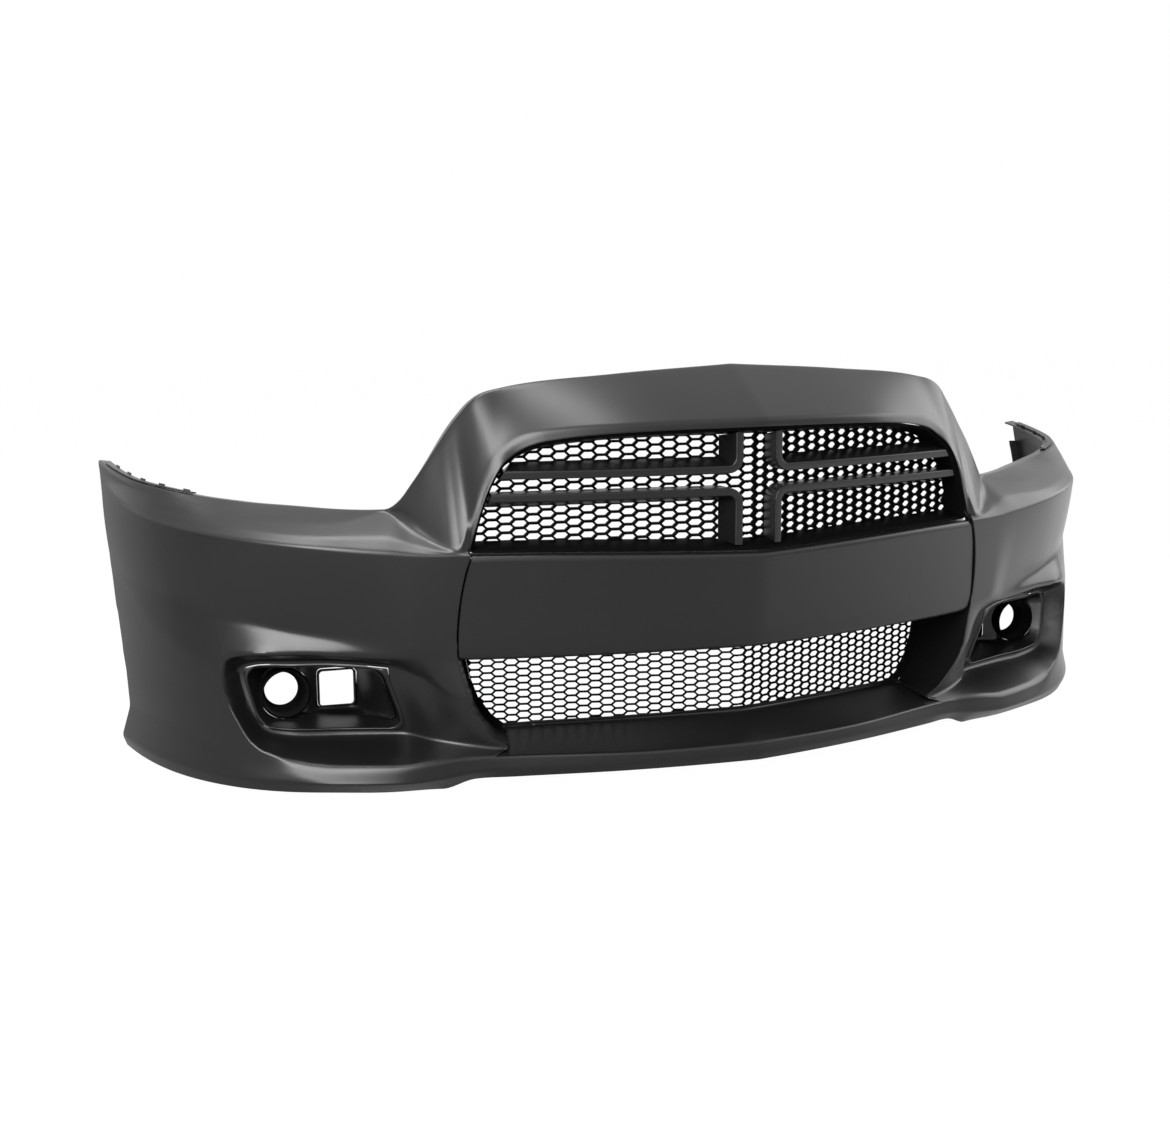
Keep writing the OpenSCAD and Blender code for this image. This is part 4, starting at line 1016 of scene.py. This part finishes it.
def mesh_plate(name, outline, pitch_x, pitch_z, z0, angle, y0, web, thick):
    """The outline runs anticlockwise in the plate's own x and z, from the middle outwards."""
    xs, zs = zip(*outline)
    columns = 2 * math.ceil(max(xs) / pitch_x / 2) * 2 + 5
    rows = 2 * math.ceil(max(max(zs) - z0, z0 - min(zs)) / pitch_z) + 3
    bm = open_bmesh(cell_field(pitch_x, pitch_z, columns, rows))
    half_col = (columns - 1) // 2
    lift = (rows - 1) / 2 - (rows - 1) // 2
    bmesh.ops.translate(bm, verts=bm.verts, vec=(0, z0 * MM - (0.5 * pitch_z * MM if half_col % 2 else 0)
                                                 + lift * pitch_z * MM, 0))
    for p, q in zip(outline, outline[1:] + outline[:1]):
        if p[0] >= 2 or q[0] >= 2:
            cut_plane(bm, *p, right_of(q - p))
    cut_plane(bm, -PAST * pitch_x, 0, (-1, 0))
    opened = []
    for f in bm.faces:
        wide, high = (max(c) - min(c) for c in zip(*(v.co.xy for v in f.verts)))
        if wide > LEAST * pitch_x * MM and high > LEAST * pitch_z * MM:
            opened.append(f)
    bmesh.ops.inset_individual(bm, faces=opened, thickness=web / 2 * MM, use_even_offset=True)
    bmesh.ops.delete(bm, geom=opened, context="FACES")
    cut_plane(bm, FIT / 2 - (MESH_T - thick) * math.tan(angle), 0, (-1, 0))
    thicken(bm, thick, PLATE_EASE, True)
    if thick < MESH_T:
        x0, x1 = 0.5, max(xs) - 8
        rail = bmesh.ops.create_cube(bm, size=MM)["verts"]
        bmesh.ops.scale(bm, verts=rail, vec=(x1 - x0, 2 * SCREW_IN - 1, MESH_T - thick + 0.5))
        bmesh.ops.translate(bm, verts=rail, vec=((x0 + x1) / 2 * MM, (max(zs) - SCREW_IN) * MM,
                                                 (thick - MESH_T + 0.5) / 2 * MM))
    bmesh.ops.translate(bm, verts=bm.verts, vec=(0, 0, (MESH_T - thick) * MM))
    return stand_up(bm, name, y0, angle)


def on_plane(path, angle):
    return [np.array((p[0] / math.cos(angle), p[1])) for p in path]


upper_angle, low_angle = math.atan(mesh_slope), math.atan(LOW_SLOPE)
low_y0 = nose_y + LOW_MESH_SET + MESH_T
low_half = [np.array(p, float) for p in (
    (0, 92), (100, 86.5), (200, 82), (300, 78.5), (363, 77), (380, 90), (402, 122), (412, 151), (418, 183),
    (420, 216), (0, 216))]
LOW_MID = 150
low_plane = on_plane(low_half, low_angle)
upper_outline, low_outline = on_plane(grow(right_path, -1), upper_angle), grow(low_plane, -FIT)
for p in upper_outline + low_outline:
    p[0] = max(p[0], 0)
upper_mesh = mesh_plate("upper_mesh", upper_outline, CELL_X, CELL_Z, (BAR_UPPER + BAR_LOWER) / 2, upper_angle,
                        nose_y + GRILLE_BACK + MESH_T, UPPER_WEB, MESH_T)
pair(upper_mesh, SHADE_MATT, "grille_plastic", "upper_mesh")
lower_mesh = mesh_plate("lower_mesh", low_outline, LOW_CELL_X, LOW_CELL_Z, LOW_MID, low_angle, low_y0, LOW_WEB,
                        LOW_MESH_T)
pair(lower_mesh, SHADE_MATT, "grille_plastic", "lower_mesh")

# %% [markdown]
# ## The frame of the lower mesh
# A plain strip holds the lower mesh at the end of the intake. It is an outline given a depth, with eased edges.

# %% Build the frame
LOW_FRAME_H, FRAME_EASE = 5, 0.8
bm = bmesh.new()
loops = [[bm.verts.new(((FIT if p[0] < 1 else p[0]) * MM, p[1] * MM, 0)) for p in grow(low_plane, d)]
         for d in (LOW_FRAME_H, 0)]
for (a, d), (b, c) in zip(zip(*loops), list(zip(*loops))[1:]):
    bm.faces.new((a, b, c, d))
thicken(bm, MESH_T + FRAME_LEAD, FRAME_EASE, False)
frame_mesh = stand_up(bm, "lower_frame", low_y0, low_angle)
# Painted shade: the whole frame carries the mark that takes reflections away.
store(frame_mesh, "inside", [1.0] * len(frame_mesh.vertices))
pair(frame_mesh, SKIN, "skin_plastic", "lower_frame")

# %% [markdown]
# ## Fog-lamp bezels
# The bezel is a deep cup let into the recess of the shell, with a lip over the edge of the opening.
# Its grid is made of rings: the first round the lip, the next run down the slope, the last turn into the floor.
# One half of the floor is a funnel for the air duct, the other a dish for the lamp.
# Two Booleans then cut the round lamp hole and the duct's opening. Where the thin sheet touches itself they leave
# a few loose crumbs, which are dropped.

# %% Build the bezels
BEZEL_WALL, BEZEL_LIP, BEZEL_SLOPE, DUCT_D, DISH_D = 2, 5, 10, 75, 50
bezel_out = BEZEL_WALL + 3 * FIT
bezel_depth = smooth_line([(LAMP_A, 6), (604, 28), (657, DUCT_D), (712, DUCT_D - 3), (745, DISH_D),
                           (FOG_END_A, DISH_D - 6)])
FOG_A, FOG_SET, FOG_Z, DUCT_A, DUCT_SET = 756, 74, 140, 679, 137
SLEEVE_D, LAMP_D, SLEEVE_L, SLEEVE_WALL, DUCT_W, DUCT_H, DUCT_L, DUCT_R = 80, 53, 42, 3, 60, 62, 34, 8
DUCT_LEAN, DUCT_CUT = math.tan(math.radians(14)), 40
DUCT_RUN = np.array((-7.5, 0, -9))
fog_p = place(FOG_A, FOG_SET, FOG_Z)
duct_p = place(DUCT_A, DUCT_SET, FOG_Z - 2)
# inset below, above, at the inner and at the outer end; corner radius
lip_edge = np.array((-FIT, 2 * FIT, -FIT, FIT, 3))
lip_inside = np.array((BEZEL_LIP, BEZEL_LIP, BEZEL_LIP, BEZEL_LIP, 18))
cup_foot = lip_inside + (BEZEL_SLOPE, BEZEL_SLOPE / 2, BEZEL_SLOPE / 2, BEZEL_SLOPE / 2, -2)
CREST, FLOOR_R = 1.8, 7
ALL_SIDES = np.array((1, 1, 1, 1, 0))
rings = []
for t, down in ((0, 1.7), (0.22, 1.5), (0.4, 1.1), (0.52, 0.4), (0.62, 0)):
    rings.append((lip_edge + (lip_inside - lip_edge) * t, 0, down))
for g in (math.radians(d) for d in (15, 35, 55, 75)):
    rings.append((lip_inside - CREST * (1 - math.sin(g)) * ALL_SIDES, 0, CREST * (1 - math.cos(g))))
for t in (0.06, 0.16, 0.3, 0.45, 0.6, 0.74, 0.84):
    rings.append((lip_inside + (cup_foot - lip_inside) * t, t, CREST * (1 - t)))
for g in (math.radians(d) for d in (0, 30, 60, 90)):
    rings.append((cup_foot + FLOOR_R * (1 - math.cos(g)) * ALL_SIDES, 1, -FLOOR_R * (1 - math.sin(g))))
n_rings = len(rings) - 1
turn_n = n_rings + 7
floor_stations = [600 + i * 5.5 for i in range(36)]
bezel_n, bezel_m = len(floor_stations) + 2 * turn_n - 1, 2 * n_rings + 16


def bezel_row(s, lo, hi, up, o):
    f, p = guide_at(FOOT_LINE, s, FOOT), guide_at(POCKET_LINE, s, POCKET)
    d = np.linalg.norm(p - f)
    w = f + (p - f) * (lo + (d - lo - hi) * up) / d
    return place(shift(s, w[2], FOOT) + leaned(s, w[2], FOOT), w[1] + o, w[2])


def bezel_point(i, j):
    k = min(i, j, bezel_n - i, bezel_m - j, n_rings)
    inset, share, down = rings[k]
    g = math.radians(min(90, 90 * (min(i, bezel_n - i) - k) / (turn_n - k)))
    d, c = inset[4] * (1 - math.cos(g)), inset[4] * (1 - math.sin(g))
    if i < turn_n:
        s = LAMP_A + inset[2] + d
    elif i > bezel_n - turn_n:
        s = FOG_END_A - inset[3] - d
    else:
        s = floor_stations[i - turn_n]
    o = -bezel_out + (bezel_depth(s)[0] + bezel_out) * share + down
    up = (j - k) / (bezel_m - 2 * k)
    return bezel_row(s, FILLET[FOOT] + inset[0] + c, FILLET[POCKET] + inset[1] + c, up, o)


bezel_grid = np.array([[bezel_point(i, j) for j in range(bezel_m + 1)] for i in range(bezel_n + 1)])


def soft_square(w, h, r, n=6):
    pts = []
    for cx, cy, a0 in ((1, 1, 0), (-1, 1, 90), (-1, -1, 180), (1, -1, 270)):
        for i in range(n + 1):
            a = math.radians(a0 + 90 * i / n)
            pts.append(np.array((cx * (w / 2 - r) + r * math.cos(a), cy * (h / 2 - r) + r * math.sin(a))))
    return pts


def along_y(outline, centre, y0, y1):
    """Two rings of an outline in x and z, at two depths behind a centre."""
    return [[centre + (p[0], y, p[1]) for p in outline] for y in (y0, y1)]


def circle(r, n=96):
    return [r * np.array((math.cos(2 * math.pi * i / n), math.sin(2 * math.pi * i / n))) for i in range(n)]


LAMP_CUT = 40
duct_hole = soft_square(DUCT_W + 2 * FIT, DUCT_H + 2 * FIT, DUCT_R)
lamp_cut = sweep_mesh("lamp_cut", along_y(circle(SLEEVE_D / 2 + FIT), fog_p, -3, SLEEVE_L + LAMP_CUT), False)
duct_cut = sweep_mesh("duct_cut", along_y(duct_hole, duct_p, -DUCT_CUT / 2, DUCT_CUT / 2), False)
CRUMB = 50  # faces in the largest shell that is dropped


def shell_from(first, seen):
    """All points that hang together with the first."""
    shell, todo = [], [first]
    seen.add(first)
    while todo:
        shell.append(todo.pop())
        fresh = {e.other_vert(shell[-1]) for e in shell[-1].link_edges} - seen
        seen |= fresh
        todo += fresh
    return shell


def drop_crumbs(mesh):
    """Weld the mesh, take away the small shells that a Boolean leaves, and fill holes."""
    bm = open_bmesh(mesh)
    bmesh.ops.remove_doubles(bm, verts=bm.verts, dist=WELD)
    bmesh.ops.dissolve_degenerate(bm, edges=bm.edges, dist=WELD)
    seen, crumbs = set(), []
    for v in bm.verts:
        shell = [] if v in seen else shell_from(v, seen)
        if len({f for w in shell for f in w.link_faces}) <= CRUMB:
            crumbs += shell
    bmesh.ops.delete(bm, geom=crumbs, context="VERTS")
    bmesh.ops.holes_fill(bm, edges=[e for e in bm.edges if len(e.link_faces) == 1], sides=0)
    print("crumbs dropped:", len(crumbs), "points; open edges left:",
          sum(len(e.link_faces) == 1 for e in bm.edges))
    return close_bmesh(bm, mesh)


def cut_away(mesh, cutters):
    """The mesh with the cutters taken away from it."""
    obj = show("bench", mesh)
    tools = [show("tool", cutter) for cutter in cutters]
    for tool in tools:
        cut = obj.modifiers.new("cut", "BOOLEAN")
        cut.operation, cut.object, cut.solver, cut.use_self = "DIFFERENCE", tool, "EXACT", True
    made = result_of(obj)
    for o in tools + [obj]:
        bpy.data.objects.remove(o)
    return drop_crumbs(made)


bezel = cut_away(sheet_mesh("bezel", bezel_grid, BEZEL_WALL / 2), [lamp_cut, duct_cut])
pair(bezel, GRILLE, "grille_plastic", "fog_bezel", angle=40)

# %% [markdown]
# ## Lamp sleeves and air ducts
# The sleeve is a turned form: one profile spun round the lamp's axis. The duct is a short square tube
# that leans inward and down.
# Both have a real radius on the edges that face the viewer.

# %% Build the sleeves and ducts
profile = [np.array(p, float) for p in ((SLEEVE_D / 2 - 4, 0), (SLEEVE_D / 2, 2), (SLEEVE_D / 2, SLEEVE_L),
                                        (LAMP_D / 2, SLEEVE_L), (LAMP_D / 2, SLEEVE_L - SLEEVE_WALL),
                                        (LAMP_D / 2 + 3, SLEEVE_L - SLEEVE_WALL),
                                        (SLEEVE_D / 2 - SLEEVE_WALL - 2, SLEEVE_L - 16))]
sleeve_profile = []
for i, q in enumerate(profile):
    sleeve_profile += rounded(profile[i - 1], q, profile[(i + 1) % len(profile)], 1.2, 4)
sleeve_rings = [[fog_p + (c[0] * r, y, c[1] * r) for r, y in sleeve_profile] for c in circle(1)]
pair(sweep_mesh("sleeve", sleeve_rings, True), SHADE_MATT, "grille_plastic", "fog_sleeve")
wide, tight = soft_square(DUCT_W, DUCT_H, DUCT_R), soft_square(DUCT_W - 5, DUCT_H - 5, DUCT_R - 2.5)
duct_rings = []
for p, q in zip(wide, tight):
    c = [duct_p + (p[0], p[0] * DUCT_LEAN, p[1]), duct_p + DUCT_RUN + (p[0], DUCT_L, p[1]),
         duct_p + DUCT_RUN + (q[0], DUCT_L, q[1]), duct_p + (q[0], q[0] * DUCT_LEAN, q[1])]
    duct_rings.append([v for i in range(4) for v in rounded(c[i - 1], c[i], c[(i + 1) % 4], 0.9, 3)])
pair(sweep_mesh("duct", duct_rings, True), SHADE_MATT, "grille_plastic", "brake_duct")

# %% [markdown]
# ## Clip rails
# Along the fender edge a thin rail with upright clips holds the cover to the wing.
# The rail follows the top line of the shell, and every fourth step stands up as a clip.

# %% Build the rails
RAIL_A0, RAIL_STEP, RAIL_N, RAIL_T, RAIL_H = 935, 12, 20, 2, 2.2


def rail_column(s):
    a = shift(s, TOP_LINE(s)[1], LAST)
    o, z = TOP_LINE(a)
    up = 3.2 * FIT + RAIL_T
    return [place(a, o + 4, z - 0.6 + up), place(a, o + TOP_FLANGE - 6, z - 2 + up),
            place(a, o + TOP_FLANGE - 5, z - 2 + up + RAIL_H)]


rail_grid = np.array([rail_column(RAIL_A0 + i * RAIL_STEP) for i in range(RAIL_N + 1)])
rail = sheet_mesh("rail", rail_grid, RAIL_T, lambda i, r: r == 1 and i % 4 != 1)
pair(rail, GRILLE, "grille_plastic", "fender_rail")

# %% [markdown]
# ## Screws
# The same screw holds the meshes at many places, so Geometry Nodes put one head on every point.
# The turn of each head is stored on the points as an attribute that the tree reads.


# %% Set the screws
def screw_tree(head, material):
    tree, given, ids = new_tree("screw_set", ("Head size", "Float", 1.0))
    turn = add(tree, "GeometryNodeInputNamedAttribute", data_type="FLOAT")
    turn.inputs["Name"].default_value = "turn"
    euler = add(tree, "ShaderNodeCombineXYZ")
    link(tree, turn, 0, euler, "Z")
    model = add(tree, "GeometryNodeObjectInfo", {"Object": head})
    spread = add(tree, "GeometryNodeInstanceOnPoints")
    link(tree, given, 0, spread, "Points")
    link(tree, model, "Geometry", spread, "Instance")
    link(tree, euler, 0, spread, "Rotation")
    link(tree, given, 1, spread, "Scale")
    hand_out(tree, spread, material)
    return tree, ids


HEAD_D, HEAD_H = 11, 4
head_r = HEAD_D / 2
recess = HEAD_D / 4.8
head_profile = [(0.01, HEAD_H - 2), (recess, HEAD_H - 2), (recess, HEAD_H - 0.3), (recess + 0.4, HEAD_H),
                (3.6, HEAD_H), (4.7, HEAD_H - 0.5), (5.3, HEAD_H - 1.4), (head_r, HEAD_H - 2.4), (head_r, 0),
                (0.01, 0)]
SIDES = 30
head_rings = []
for i in range(SIDES):
    a = 2 * math.pi * i / SIDES
    six = math.cos(math.pi / 6) / math.cos((a % (math.pi / 3)) - math.pi / 6)
    radii = [(r * (six if 0.1 < r <= recess else 1), y) for r, y in head_profile]
    head_rings.append([np.array((math.cos(a) * r, y, math.sin(a) * r)) for r, y in radii])
head_object = show("screw_head", sweep_mesh("screw_head", head_rings, True))
screws_tree, screws_ids = screw_tree(head_object, STEEL)


def screw_set(name, spots, depth_at, angle, node):
    points, turns = [], []
    for x, z in spots:
        for m in (-1, 1):
            points.append((m * x * MM, (depth_at(x) + MESH_T / math.cos(angle) + FIT) * MM, z * MM))
            turns.append(m * angle)
    start = bpy.data.meshes.new(name)
    start.from_pydata(points, [], [])
    store(start, "turn", turns)
    made = run_nodes(start, screws_tree, zip(screws_ids, (1.0,)))
    made.name = name
    piece(made, STEEL, "screw_steel", node)


grille_spots = [(x, edge_z(x) - SCREW_IN) for x in (30, 250)] + [(407, 472), (428, 400)]
grille_spots += [(x, ridge_at(x) + SCREW_IN) for x in (300, 90)]
screw_set("grille_screws_look", grille_spots, mesh_y, upper_angle, "grille_screws")
screw_set("mesh_screws_look", [(40, 210), (220, 210), (395, 210)], low_y, low_angle, "mesh_screws")
bpy.data.objects.remove(head_object)

# %% [markdown]
# ## Fastening tabs
# The screw tabs sit behind the edges. Their CAD solids already have the right form and the real holes,
# so they only take the finish of the shell.

# %% Finish the tabs
for name in ("upper_tabs", "lower_tabs", "arch_tabs_left", "arch_tabs_right"):
    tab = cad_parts[name]
    tab.data.materials.clear()
    tab.data.materials.append(SKIN)
    print(name, "keeps its CAD solid")
